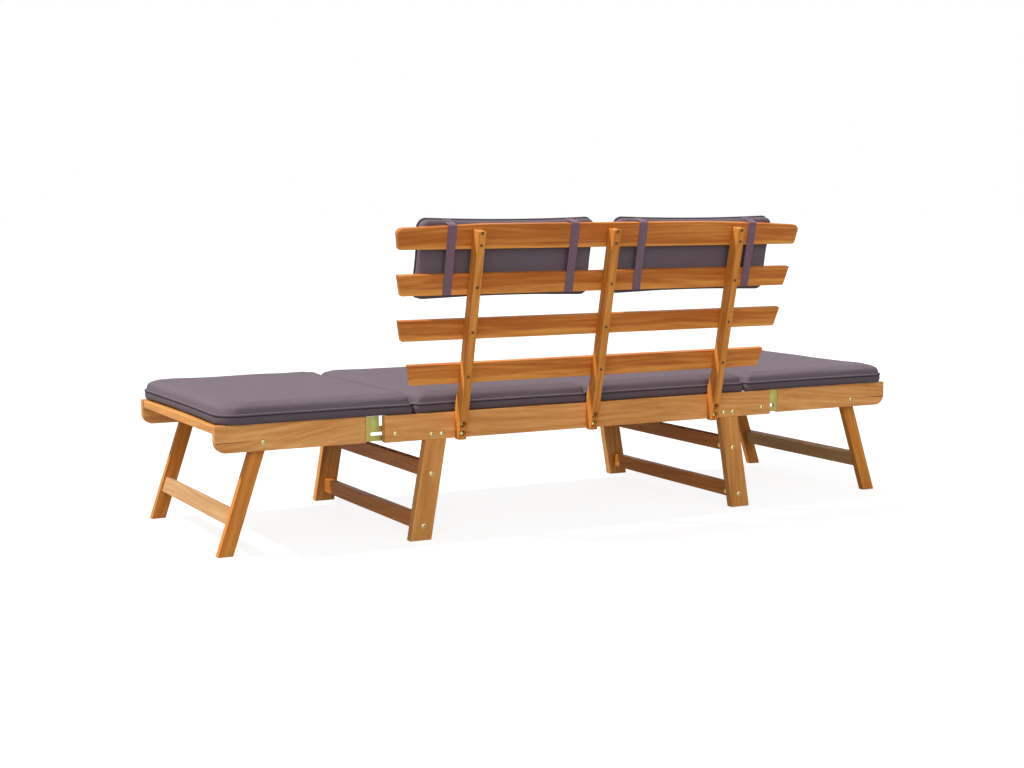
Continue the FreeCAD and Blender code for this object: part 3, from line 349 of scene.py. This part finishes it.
def solid_boxes(name):
    """The lowest and highest corner of each separate solid in a CAD node."""
    mesh = bmesh.new()
    mesh.from_mesh(nodes[name].data)
    bmesh.ops.remove_doubles(mesh, verts=mesh.verts, dist=0.000002)
    left = set(mesh.verts)
    boxes = []
    while left:
        found = []
        waiting = [left.pop()]
        while waiting:
            point = waiting.pop()
            found.append(point.co.copy())
            for edge in point.link_edges:
                beside = edge.other_vert(point)
                if beside in left:
                    left.remove(beside)
                    waiting.append(beside)
        low = Vector([min(spot[axis] for spot in found) for axis in range(3)])
        high = Vector([max(spot[axis] for spot in found) for axis in range(3)])
        boxes.append((low, high))
    mesh.free()
    return sorted(boxes, key=lambda box: tuple(box[0]))


def cut_sockets(name, body, steel):
    """Sink a hexagon socket into the head of every bolt of a node; all the bolts run along Y."""
    mesh = bmesh.new()
    for low, high in solid_boxes(name):
        if high.y - low.y < BOLT_LEAST_LENGTH:
            continue
        middle = (low + high) / 2
        outward = 1 if middle.y > seat_middle else -1
        face = high.y if outward == 1 else low.y
        rings = []
        for y in (face - outward * SOCKET_DEPTH, face + outward * SOCKET_DEPTH):
            ring = []
            for corner in range(6):
                angle = math.tau * corner / 6
                reach = SOCKET_FLATS / 2 / math.cos(math.radians(30))
                ring.append(mesh.verts.new((middle.x + reach * math.cos(angle), y,
                                            middle.z + reach * math.sin(angle))))
            rings.append(ring)
        mesh.faces.new(rings[0])
        mesh.faces.new(list(reversed(rings[1])))
        for corner in range(6):
            after = (corner + 1) % 6
            mesh.faces.new((rings[0][corner], rings[1][corner], rings[1][after], rings[0][after]))
    bmesh.ops.recalc_face_normals(mesh, faces=mesh.faces)
    data = bpy.data.meshes.new(name + "_socket_key")
    mesh.to_mesh(data)
    mesh.free()
    data.materials.append(steel)
    key = bpy.data.objects.new(name + "_socket_key", data)
    bpy.context.scene.collection.objects.link(key)
    key.hide_render = True
    key.hide_viewport = True
    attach(key, body)
    piece = nodes[name]
    weld = piece.modifiers.new("one skin", "WELD")
    weld.merge_threshold = 0.000002
    sink = piece.modifiers.new("sockets", "BOOLEAN")
    sink.operation = "DIFFERENCE"
    sink.solver = "EXACT"
    sink.object = key
    sink.material_mode = "TRANSFER"


seat_middle = (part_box("seat_rail_rear")[1].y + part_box("seat_rail_front")[0].y) / 2
bolt_finish = plated_steel("plated_steel", "#A08F58", "#D8C98F")
green_finish = plated_steel("greenish_plated_steel", "#9AA25E", "#CBD190")
# Painted shade: the backrest screws get a dark brown finish that stands in for the shadow in the holes they
# sit in
shaded_screw_finish = plated_steel("plated_steel_painted_dark_as_shade", "#4F3A24", "#6A5034")
socket_finish = plated_steel("plated_steel_in_shade", "#6E6248", "#8C7F5F")
for name in ("leg_nuts", "stretcher_barrel_nuts", "post_nuts", "leg_bolts", "stretcher_bolts"):
    finish_node(name, bolt_finish, 0)
finish_node("post_bolts", green_finish, 0)
finish_node("backrest_screws", shaded_screw_finish, 0)
for name in ("leg_bolts", "stretcher_bolts"):
    cut_sockets(name, "bench_frame", socket_finish)
for side_name, side in SIDES:
    finish_node(f"{side_name}_plate_screws", bolt_finish, 0)
    for kind, body in (("wing_pivot_bolts", "wing_pivot"), ("leg_pivot_bolts", "wing")):
        finish_node(f"{side_name}_{kind}", bolt_finish, 0)
        cut_sockets(f"{side_name}_{kind}", f"{side_name}_{body}", socket_finish)

# Seat cushions: four foam pads in a woven cover, one on each half of the seat and one on each wing.
# A low boxed band and a deep top cover are sewn together round a piped seam a little above the base.

CUSHION_SEAM_HEIGHT = 0.019
CUSHION_DRAW_IN = 0.004
OUTER_CORNERS = (0.048, 0.034)
JOINT_CORNER = 0.018
JOINED_DRAW_IN = 0.001
PIPING_RADIUS = 0.0015
HEM_RADIUS = 0.0024
# Threads are drawn 1.6 mm apart, about twice the real spacing, so that the weave shows
THREAD_SPACING = 0.0016
CLOTH_COLOURS = ("#665960", "#72666D")
# The cover starts this much smaller all round and lower than the finished pad, and is then blown up
PUFF_START = 0.0015
PUFF_START_LOWER = 0.0045
PUFF_CAP = 0.004
PUFF_PRESSURE = 3.2
VOXEL = 0.005
# At a joint, the corners of the base have this share of the radius that they have at the seam
BASE_CORNER_SHARE = 0.2
# The corners of the cover grow rounder by this much from the seam to the crown
CROWN_CORNER_GAIN = 0.006
# Levels of the top cover above the seam: how far in they lie, and how far up as parts of its height
COVER_LEVELS = ((0.0, 0.2), (0.0, 0.5), (0.0005, 0.72), (0.003, 0.88), (0.008, 0.95), (0.016, 0.972),
                (0.032, 0.984), (0.060, 0.992), (0.1, 1.0))
# Levels of the band under the seam: how far in they lie, and how far up as parts of its height
BAND_LEVELS = ((0.004, 0.0), (0.002, 0.16), (0.0010, 0.5), (0.0012, 0.85), (0.0018, 1.0))


def seam_path(length, width, corners, joined, inset):
    """Points round a cushion, anticlockwise from +X: quarter rounds, and sides that draw in between.

    The four radii start with the corner at +X and +Y. A joined end, 1 at -X or 3 at +X, lies against
    the next cushion and draws in less.
    """
    half_length = length / 2 - inset
    half_width = width / 2 - inset
    turns = [max(corner, 1.3 * inset) - 0.6 * inset for corner in corners]
    points = []
    corner_steps = 10
    side_steps = 60
    for quarter in range(4):
        turn = turns[quarter]
        next_turn = turns[(quarter + 1) % 4]
        sign_x = (1, -1, -1, 1)[quarter]
        sign_y = (1, 1, -1, -1)[quarter]
        centre = Vector((sign_x * (half_length - turn), sign_y * (half_width - turn), 0))
        for step in range(corner_steps + 1):
            angle = math.radians(90) * (quarter + step / corner_steps)
            points.append(centre + turn * Vector((math.cos(angle), math.sin(angle), 0)))
        start = points[-1].copy()
        straight = 2 * (half_length if quarter % 2 == 0 else half_width) - turn - next_turn
        inward = -Vector((math.cos(angle), math.sin(angle), 0))
        onward = Vector((inward.y, -inward.x, 0))
        draw_in = JOINED_DRAW_IN if quarter in joined else CUSHION_DRAW_IN
        for step in range(1, side_steps):
            part = step / side_steps
            bow = draw_in * (1 - (2 * part - 1) ** 2)
            points.append(start + onward * straight * part + inward * bow)
    return points


def pad_mesh(name, length, width, thick, seam, corners, joined):
    """A closed pad on Z = 0: a flat base, a boxed band, a seam, steep sides and a crowned top.

    Where a pad joins its neighbour, the corners of its base are nearly square and close the joint.
    """
    crown = thick - seam
    levels = [(inset, seam * rise) for inset, rise in BAND_LEVELS]
    levels += [(inset, seam + crown * rise) for inset, rise in COVER_LEVELS]
    mesh = bmesh.new()
    rows = []
    for inset, height in levels:
        if height < seam:
            share = BASE_CORNER_SHARE + (1 - BASE_CORNER_SHARE) * height / seam
            turns = [corner if corner > JOINT_CORNER else corner * share for corner in corners]
            path = seam_path(length, width, turns, joined, inset)
            for point in path:
                if (3 if point.x > 0 else 1) in joined:
                    point.x *= length / (length - 2 * inset)
        else:
            turns = [corner + (height - seam) / crown * CROWN_CORNER_GAIN for corner in corners]
            path = seam_path(length, width, turns, joined, inset + PUFF_START)
        rows.append([mesh.verts.new((point.x, point.y, height)) for point in path])
    for lower, upper in zip(rows, rows[1:]):
        for index in range(len(lower)):
            after = (index + 1) % len(lower)
            mesh.faces.new((lower[index], lower[after], upper[after], upper[index]))
    mesh.faces.new(list(reversed(rows[0])))
    mesh.faces.new(rows[-1])
    data = bpy.data.meshes.new(name)
    mesh.to_mesh(data)
    mesh.free()
    return data


def calm(data, seam, rounds):
    """Take small steps and sharp wrinkles out of the cover; the band and the seam stay as they are."""
    mesh = bmesh.new()
    mesh.from_mesh(data)
    cover = [point for point in mesh.verts if point.co.z > seam]
    for step in range(rounds):
        bmesh.ops.smooth_vert(mesh, verts=cover, factor=0.5, use_axis_x=True, use_axis_y=True,
                              use_axis_z=True)
    mesh.to_mesh(data)
    mesh.free()


def puff(piece, pressure, seam):
    """Blow the cover up over its filling as cloth; the band and the seam stay where they are."""
    remesh = piece.modifiers.new("even cloth", "REMESH")
    remesh.mode = "VOXEL"
    remesh.voxel_size = VOXEL
    view = bpy.context.evaluated_depsgraph_get()
    piece.data = bpy.data.meshes.new_from_object(piece.evaluated_get(view))
    piece.modifiers.clear()
    for face in piece.data.polygons:
        face.use_smooth = True
    calm(piece.data, seam, 3)
    held = piece.vertex_groups.new(name="sewn")
    before = [point.co.copy() for point in piece.data.vertices]
    for index, point in enumerate(before):
        if point.z < seam + 0.5 * VOXEL:
            held.add([index], 1.0, "REPLACE")
    cloth = piece.modifiers.new("cover", "CLOTH")
    cloth.settings.quality = 4
    cloth.settings.mass = 0.25
    cloth.settings.tension_stiffness = 20
    cloth.settings.compression_stiffness = 20
    cloth.settings.bending_stiffness = 3.0
    cloth.settings.use_pressure = True
    cloth.settings.uniform_pressure_force = pressure
    cloth.settings.vertex_group_mass = "sewn"
    cloth.settings.effector_weights.gravity = 0
    cloth.collision_settings.use_collision = False
    cloth.point_cache.frame_start = 1
    cloth.point_cache.frame_end = 20
    for step in range(1, 21):
        bpy.context.scene.frame_set(step)
    view = bpy.context.evaluated_depsgraph_get()
    blown = piece.evaluated_get(view)
    after = [point.co.copy() for point in blown.data.vertices]
    piece.modifiers.clear()
    piece.vertex_groups.clear()
    bpy.context.scene.frame_set(1)
    for index, (start, end) in enumerate(zip(before, after)):
        move = end - start
        if move.length > PUFF_CAP:
            move *= PUFF_CAP / move.length
        piece.data.vertices[index].co = start + move
    calm(piece.data, seam, 4)


def blown_pad(name, length, width, thick, seam, corners, joined, pressure):
    """The finished mesh of a pad, on Z = 0."""
    data = pad_mesh(name, length, width, thick, seam, corners, joined)
    trial = bpy.data.objects.new(name + "_trial", data)
    bpy.context.scene.collection.objects.link(trial)
    puff(trial, pressure, seam)
    data = trial.data
    bpy.data.objects.remove(trial)
    return data


def woven_cover(name, colour, light_colour, thread, band=0.0):
    """Woven polyester: matt, with fine crossed threads; where band is given, the cloth below that height is
    painted darker as shade.
    """
    material, tree, surface = new_material(name)
    place = add_node(tree, "ShaderNodeTexCoord", {}, {})
    spot = place.outputs["Object"]
    facing = add_node(tree, "ShaderNodeVectorMath", {"operation": "ABSOLUTE"}, {
        0: place.outputs["Normal"]}).outputs[0]
    lying = add_node(tree, "ShaderNodeVectorMath", {"operation": "SUBTRACT"}, {
        0: (1.0, 1.0, 1.0), 1: facing}).outputs[0]
    lying = add_node(tree, "ShaderNodeSeparateXYZ", {}, {"Vector": lying}).outputs
    weave = 0.0
    for axis in "XYZ":
        threads = add_node(tree, "ShaderNodeTexWave", {
            "wave_type": "BANDS", "bands_direction": axis, "wave_profile": "SIN"}, {
            "Vector": spot, "Scale": WAVE_REPEAT / thread, "Distortion": 0.4, "Detail": 0.0}).outputs["Fac"]
        weave = add_node(tree, "ShaderNodeMath", {"operation": "MULTIPLY_ADD"}, {
            0: threads, 1: lying[axis], 2: weave}).outputs[0]
    mottle = add_node(tree, "ShaderNodeTexNoise", {}, {
        "Vector": spot, "Scale": 160.0, "Detail": 3.0, "Roughness": 0.7}).outputs["Fac"]
    tone = add_node(tree, "ShaderNodeMath", {"operation": "MULTIPLY_ADD"}, {
        0: weave, 1: 0.18, 2: mottle}).outputs[0]
    yarn = add_node(tree, "ShaderNodeValToRGB", {}, {"Fac": tone}, [
        (0.3, colour), (1.0, light_colour)]).outputs["Color"]
    # Painted shade: below the seam height the yarn colour falls to 0.78 of itself, standing in for the shade
    # under the hem on the downward-facing band
    if band > 0:
        height = add_node(tree, "ShaderNodeSeparateXYZ", {}, {"Vector": spot}).outputs["Z"]
        shade = add_node(tree, "ShaderNodeMapRange", {}, {
            "Value": height, "From Min": band - 0.002, "From Max": band, "To Min": 0.78,
            "To Max": 1.0}).outputs[0]
        yarn = add_node(tree, "ShaderNodeVectorMath", {"operation": "SCALE"}, {
            0: yarn, "Scale": shade}).outputs[0]
    tree.links.new(yarn, surface.inputs["Base Color"])
    bump = add_node(tree, "ShaderNodeBump", {}, {
        "Strength": 0.4, "Distance": 0.0006, "Height": weave}).outputs["Normal"]
    tree.links.new(bump, surface.inputs["Normal"])
    surface.inputs["Roughness"].default_value = 0.95
    surface.inputs["Specular IOR Level"].default_value = 0.08
    surface.inputs["Sheen Weight"].default_value = 0.04
    surface.inputs["Sheen Roughness"].default_value = 0.4
    return material


def sewn_tube(name, path, radius, sides=8):
    """A closed round cord of cloth that follows a path of points."""
    mesh = bmesh.new()
    rows = []
    count = len(path)
    for index, point in enumerate(path):
        onward = (path[(index + 1) % count] - path[index - 1]).normalized()
        across = Vector((onward.y, -onward.x, 0))
        row = []
        for step in range(sides):
            angle = math.tau * step / sides
            row.append(mesh.verts.new(point + radius * (across * math.cos(angle)
                                                        + Vector((0, 0, 1)) * math.sin(angle))))
        rows.append(row)
    for index, row in enumerate(rows):
        after = rows[(index + 1) % count]
        for step in range(sides):
            beside = (step + 1) % sides
            mesh.faces.new((row[step], row[beside], after[beside], after[step]))
    bmesh.ops.recalc_face_normals(mesh, faces=mesh.faces)
    data = bpy.data.meshes.new(name)
    mesh.to_mesh(data)
    mesh.free()
    for face in data.polygons:
        face.use_smooth = True
    return data


def add_piece(name, data, material):
    """Put a mesh in the scene with its finish."""
    piece = bpy.data.objects.new(name, data)
    bpy.context.scene.collection.objects.link(piece)
    piece.data.materials.clear()
    piece.data.materials.append(material)
    return piece


def soft_swell(data, seed, seam, height, spread):
    """Uneven filling: the cover rises and falls a little over hands' breadths, and not at the seam."""
    for point in data.vertices:
        spot = Vector((point.co.x / spread, point.co.y / spread, seed * 3.7))
        share = min(1.0, max(0.0, (point.co.z - seam - 0.006) / 0.012))
        point.co.z += share * height * noise.noise(spot)


def sewn_seam(name, path, height, spot, body):
    """The dark piping round a cushion, and the hem of the top cover that rolls over it."""
    corded = [point + Vector((0, 0, height)) for point in path]
    cord = add_piece(name + "_piping", sewn_tube("piping", corded, PIPING_RADIUS), piping_cloth)
    rolled = [point + Vector((0, 0, height + PIPING_RADIUS + 0.7 * HEM_RADIUS)) for point in path]
    hem = add_piece(name + "_hem", sewn_tube("hem", rolled, HEM_RADIUS), cover_cloth)
    for piece in (cord, hem):
        piece.matrix_world = spot
        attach(piece, body)


def lay_pad(name, data, cloth, path, seam, spot, body, node):
    """Put a pad and its sewn seam in the place of the CAD cushion."""
    pad = add_piece(name + "_cover", data, cloth)
    pad.matrix_world = spot
    smooth = pad.modifiers.new("soft cloth", "SUBSURF")
    smooth.levels = smooth.render_levels = 1
    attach(pad, body)
    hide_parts(node)
    sewn_seam(name, path, seam, spot, body)


# The seat and wing covers get painted shade on their band below the seam
cover_cloth = woven_cover("woven_grey_mauve_polyester", *CLOTH_COLOURS, THREAD_SPACING,
                          CUSHION_SEAM_HEIGHT)
piping_cloth = woven_cover("woven_dark_piping", "#342C32", "#473E44", THREAD_SPACING)
seat_low, seat_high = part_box("seat_cushion_left")
seat_size = seat_high - seat_low
SEAT_CORNERS = (JOINT_CORNER, JOINT_CORNER, JOINT_CORNER, JOINT_CORNER)
WING_CORNERS = (OUTER_CORNERS[0], JOINT_CORNER, JOINT_CORNER, OUTER_CORNERS[1])
JOINED_ENDS = {"seat": (1, 3), "wing": (1,)}
SWELL = 0.0014
SWELL_SPREAD = 0.12
blown = {}
for kind, corners in (("seat", SEAT_CORNERS), ("wing", WING_CORNERS)):
    blown[kind] = blown_pad(kind, seat_size.x, seat_size.y, seat_size.z - PUFF_START_LOWER,
                            CUSHION_SEAM_HEIGHT, corners, JOINED_ENDS[kind], PUFF_PRESSURE)
PADS = (("left_wing", "wing", WING_CORNERS, 1), ("left_seat", "seat", SEAT_CORNERS, 1),
        ("right_seat", "seat", SEAT_CORNERS, -1), ("right_wing", "wing", WING_CORNERS, -1))
for seed, (place, kind, corners, side) in enumerate(PADS):
    side_name = "left" if side == 1 else "right"
    node = f"{side_name}_wing_cushion" if kind == "wing" else f"seat_cushion_{side_name}"
    body = f"{side_name}_cushion" if kind == "wing" else "bench_frame"
    low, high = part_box(node)
    spot = Matrix.Translation(((low.x + high.x) / 2, (low.y + high.y) / 2, low.z))
    if side == -1:
        spot = spot @ Matrix.Rotation(math.pi, 4, "Z")
    data = blown[kind].copy()
    soft_swell(data, seed, CUSHION_SEAM_HEIGHT, SWELL, SWELL_SPREAD)
    path = seam_path(seat_size.x, seat_size.y, corners, JOINED_ENDS[kind], HEM_RADIUS)
    lay_pad(f"{place}_cushion", data, cover_cloth, path, CUSHION_SEAM_HEIGHT, spot, body, node)

# Back cushions: two smaller pads of the same make lean on the two upper boards, their seams nearer
# the boards, and hang there by two sewn straps each.

BACK_SEAM_HEIGHT = 0.020
BACK_SEAM_INSET = 0.0018
BACK_WIDTH = 0.462
BACK_HEIGHT = 0.188
BACK_THICK = 0.042
BACK_BOARD_THICK = 0.015
BACK_LIFT = 0.0003
BACK_PAD_LOW = 0.5769
BACK_PUFF_START_LOWER = 0.003
BACK_PUFF_PRESSURE = 3.4
BACK_SWELL = 0.001
BACK_SWELL_SPREAD = 0.09
BACK_CORNERS = (0.021, 0.021, 0.021, 0.021)

# The rear faces of the boards lie in one leaning plane, found from the top board's box
board_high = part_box("backrest_board_top")[1]
top_slope = (board_high.z - BACK_BOARD_THICK * math.sin(BACK_LEAN)) / math.cos(BACK_LEAN)
back_plane = board_high.y - top_slope * math.sin(BACK_LEAN)
third_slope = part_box("backrest_board_third")[0].z / math.cos(BACK_LEAN)


def on_back(normal, slope):
    """Y and Z of a point by its depth behind the boards' rear face and its way up that face."""
    y = back_plane + slope * math.sin(BACK_LEAN) + normal * math.cos(BACK_LEAN)
    z = slope * math.cos(BACK_LEAN) - normal * math.sin(BACK_LEAN)
    return y, z


back_cloth = woven_cover("woven_grey_mauve_polyester_back", *CLOTH_COLOURS, THREAD_SPACING)
blown_back = blown_pad("back", BACK_WIDTH, BACK_HEIGHT, BACK_THICK - BACK_PUFF_START_LOWER,
                       BACK_SEAM_HEIGHT, BACK_CORNERS, (), BACK_PUFF_PRESSURE)
rest_normal = -(BACK_BOARD_THICK + BACK_LIFT)
for seed, (side_name, side) in enumerate(SIDES):
    low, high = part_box(f"back_cushion_{side_name}")
    y, z = on_back(rest_normal, BACK_PAD_LOW + BACK_HEIGHT / 2)
    spot = Matrix.Translation(((low.x + high.x) / 2, y, z))
    spot = spot @ Matrix.Rotation(math.radians(90) - BACK_LEAN, 4, "X")
    data = blown_back.copy()
    soft_swell(data, seed + 7, BACK_SEAM_HEIGHT, BACK_SWELL, BACK_SWELL_SPREAD)
    path = seam_path(BACK_WIDTH, BACK_HEIGHT, BACK_CORNERS, (), BACK_SEAM_INSET)
    lay_pad(f"{side_name}_back_cushion", data, back_cloth, path, BACK_SEAM_HEIGHT, spot, "bench_frame",
            f"back_cushion_{side_name}")

# Straps: four flat woven loops sewn into the back cushions' seams. Each goes over the top board, down
# behind the two upper boards and back under the lower of them.

STRAP_WIDTH = 0.022
STRAP_THICK = 0.0014
# The webbing has finer thread than the covers, here too drawn about twice as coarse as it is
STRAP_THREAD = 0.0011


def ribbon(name, path, middle, width, thick):
    """A flat strap along a path in the YZ plane, thicker at its folded and stitched hems."""
    profile = []
    for part, swell in ((-0.5, 0.8), (-0.47, 1.0), (-0.4, 1.0), (-0.37, 0.75), (0.37, 0.75), (0.4, 1.0),
                        (0.47, 1.0), (0.5, 0.8)):
        profile.append((part * width, swell * thick / 2))
    mesh = bmesh.new()
    rows = []
    for index, point in enumerate(path):
        before = path[max(index - 1, 0)]
        after = path[min(index + 1, len(path) - 1)]
        onward = (after - before).normalized()
        outward = Vector((0, -onward.z, onward.y))
        row = []
        for facing in (1, -1):
            ordered = profile if facing == 1 else reversed(profile)
            for across, half in ordered:
                row.append(mesh.verts.new(point + Vector((middle + across, 0, 0)) + facing * half * outward))
        rows.append(row)
    for lower, upper in zip(rows, rows[1:]):
        for index in range(len(lower)):
            after = (index + 1) % len(lower)
            mesh.faces.new((lower[index], lower[after], upper[after], upper[index]))
    mesh.faces.new(list(reversed(rows[0])))
    mesh.faces.new(rows[-1])
    bmesh.ops.recalc_face_normals(mesh, faces=mesh.faces)
    data = bpy.data.meshes.new(name)
    mesh.to_mesh(data)
    mesh.free()
    for face in data.polygons:
        face.use_smooth = True
    return data


def rounded_path(corners, radius, steps):
    """A path through corners, each rounded by a small bend."""
    points = [corners[0]]
    for before, corner, after in zip(corners, corners[1:], corners[2:]):
        into = (corner - before).normalized()
        out = (after - corner).normalized()
        reach = min(radius, 0.45 * (corner - before).length, 0.45 * (after - corner).length)
        start = corner - into * reach
        end = corner + out * reach
        for step in range(steps + 1):
            part = step / steps
            points.append(start.lerp(corner, part).lerp(corner.lerp(end, part), part))
    points.append(corners[-1])
    return points


# Flat woven polyester webbing, a shade redder than the covers
webbing = woven_cover("woven_mauve_webbing", "#735968", "#8A707F", STRAP_THREAD)
half_strap = STRAP_THICK / 2
seam_normal = rest_normal - BACK_SEAM_HEIGHT
behind = BACK_LIFT + half_strap
back_pad_high = BACK_PAD_LOW + BACK_HEIGHT
# The outer straps lie where the top board has already fallen a little towards its end
STRAP_FALLS = {"outer": 0.0034, "inner": 0.0}
for reach_name, board_fall in STRAP_FALLS.items():
    board_top = top_slope - board_fall + BACK_LIFT
    strap_corners = [
        (seam_normal + 0.0015, back_pad_high - 0.003),
        (-BACK_BOARD_THICK * 0.5, board_top + 2.6 * half_strap),
        (behind, board_top + half_strap),
        (behind, third_slope - BACK_LIFT - half_strap),
        (rest_normal - 0.0005, third_slope - BACK_LIFT - 2.5 * half_strap),
    ]
    corners = [Vector((0, *on_back(normal, slope))) for normal, slope in strap_corners]
    path = rounded_path(corners, 0.003, 5)
    for side_name, side in SIDES:
        node = f"cushion_strap_{side_name}_{reach_name}"
        low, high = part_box(node)
        strap = add_piece(f"{side_name}_{reach_name}_webbing_strap",
                          ribbon("strap", path, (low.x + high.x) / 2, STRAP_WIDTH, STRAP_THICK),
                          webbing)
        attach(strap, "bench_frame")
        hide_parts(node)

# The room: a white floor under a soft sky. One small high sun from in front on the sitter's left throws
# the shadows, and two broad soft ones behind and in front fill them.

FLOOR_RADIUS = 60
FLOOR_SIDES = 48
FLOOR_GLOW = 0.86
AMBIENT = 0.3
floor_data = bpy.data.meshes.new("floor")
turns = [math.tau * step / FLOOR_SIDES for step in range(FLOOR_SIDES)]
ring = [(FLOOR_RADIUS * math.cos(turn), FLOOR_RADIUS * math.sin(turn), 0) for turn in turns]
floor_data.from_pydata(ring, [], [list(range(FLOOR_SIDES))])
floor = bpy.data.objects.new("floor", floor_data)
bpy.context.scene.collection.objects.link(floor)
floor_paint, tree, surface = new_material("white_floor_paint")
surface.inputs["Base Color"].default_value = linear("#858585")
surface.inputs["Roughness"].default_value = 0.9
surface.inputs["Specular IOR Level"].default_value = 0.1
rays = add_node(tree, "ShaderNodeLightPath", {}, {}).outputs
shown = add_node(tree, "ShaderNodeMath", {"operation": "MAXIMUM"}, {
    0: rays["Is Camera Ray"], 1: rays["Is Glossy Ray"]}).outputs[0]
lift = add_node(tree, "ShaderNodeMath", {"operation": "MULTIPLY"}, {0: shown, 1: FLOOR_GLOW}).outputs[0]
glow = add_node(tree, "ShaderNodeEmission", {}, {"Strength": lift})
both = add_node(tree, "ShaderNodeAddShader", {}, {0: surface.outputs[0], 1: glow.outputs[0]})
output = [node for node in tree.nodes if node.type == "OUTPUT_MATERIAL"][0]
tree.links.new(both.outputs[0], output.inputs["Surface"])
floor.data.materials.append(floor_paint)
floor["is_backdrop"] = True

world = bpy.data.worlds.new("soft_room")
bpy.context.scene.world = world
world.use_nodes = True
tree = world.node_tree
tree.nodes.clear()
rays = add_node(tree, "ShaderNodeLightPath", {}, {}).outputs
shown = add_node(tree, "ShaderNodeMath", {"operation": "MAXIMUM"}, {
    0: rays["Is Camera Ray"], 1: rays["Is Transmission Ray"]}).outputs[0]
shown = add_node(tree, "ShaderNodeMath", {"operation": "MAXIMUM"}, {
    0: shown, 1: rays["Is Glossy Ray"]}).outputs[0]
strength = add_node(tree, "ShaderNodeMapRange", {}, {
    "Value": shown, "To Min": AMBIENT, "To Max": 1.0}).outputs[0]
sky = add_node(tree, "ShaderNodeBackground", {}, {"Color": linear("#FFFFFF"), "Strength": strength})
output = add_node(tree, "ShaderNodeOutputWorld", {}, {"Surface": sky.outputs[0]})

# Each lamp: the way towards it, how wide it looks in degrees, and how brightly it lights a facing surface
LAMPS = (
    ("key", Vector((0.55, -0.22, 0.9)), 4, 1.25),
    ("fill", Vector((0.35, 0.92, 0.3)), 70, 0.55),
    ("front_fill", Vector((-0.3, -0.92, 0.3)), 70, 0.25),
)
for name, way, spread, level in LAMPS:
    lamp_data = bpy.data.lights.new(name, "SUN")
    lamp_data.angle = math.radians(spread)
    lamp_data.energy = level * math.pi
    lamp = bpy.data.objects.new(name, lamp_data)
    bpy.context.scene.collection.objects.link(lamp)
    lamp.rotation_euler = way.to_track_quat("Z", "Y").to_euler()

# The camera stands behind the bench on the sitter's left, a little above the height of the backrest,
# and looks slightly down.

CAMERA_LENS_MM = 58.37
CAMERA_SENSOR_MM = 36
CAMERA_PLACE = Vector((2.0886, 3.7288, 0.7956))
CAMERA_AZIMUTH = math.radians(151.72)
CAMERA_ELEVATION = math.radians(6.33)
CAMERA_ROLL = math.radians(-0.05)
camera_data = bpy.data.cameras.new("camera")
camera_data.lens = CAMERA_LENS_MM
camera_data.sensor_width = CAMERA_SENSOR_MM
camera = bpy.data.objects.new("camera", camera_data)
bpy.context.scene.collection.objects.link(camera)
back = Vector((math.sin(CAMERA_AZIMUTH) * math.cos(CAMERA_ELEVATION),
               -math.cos(CAMERA_AZIMUTH) * math.cos(CAMERA_ELEVATION), math.sin(CAMERA_ELEVATION)))
right = Vector((0, 0, 1)).cross(back).normalized()
upright = Matrix((right, back.cross(right), back)).transposed().to_4x4()
camera.matrix_world = Matrix.Translation(CAMERA_PLACE) @ upright @ Matrix.Rotation(CAMERA_ROLL, 4, "Z")
bpy.context.scene.camera = camera
bpy.context.scene.view_settings.view_transform = "Standard"

low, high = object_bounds()
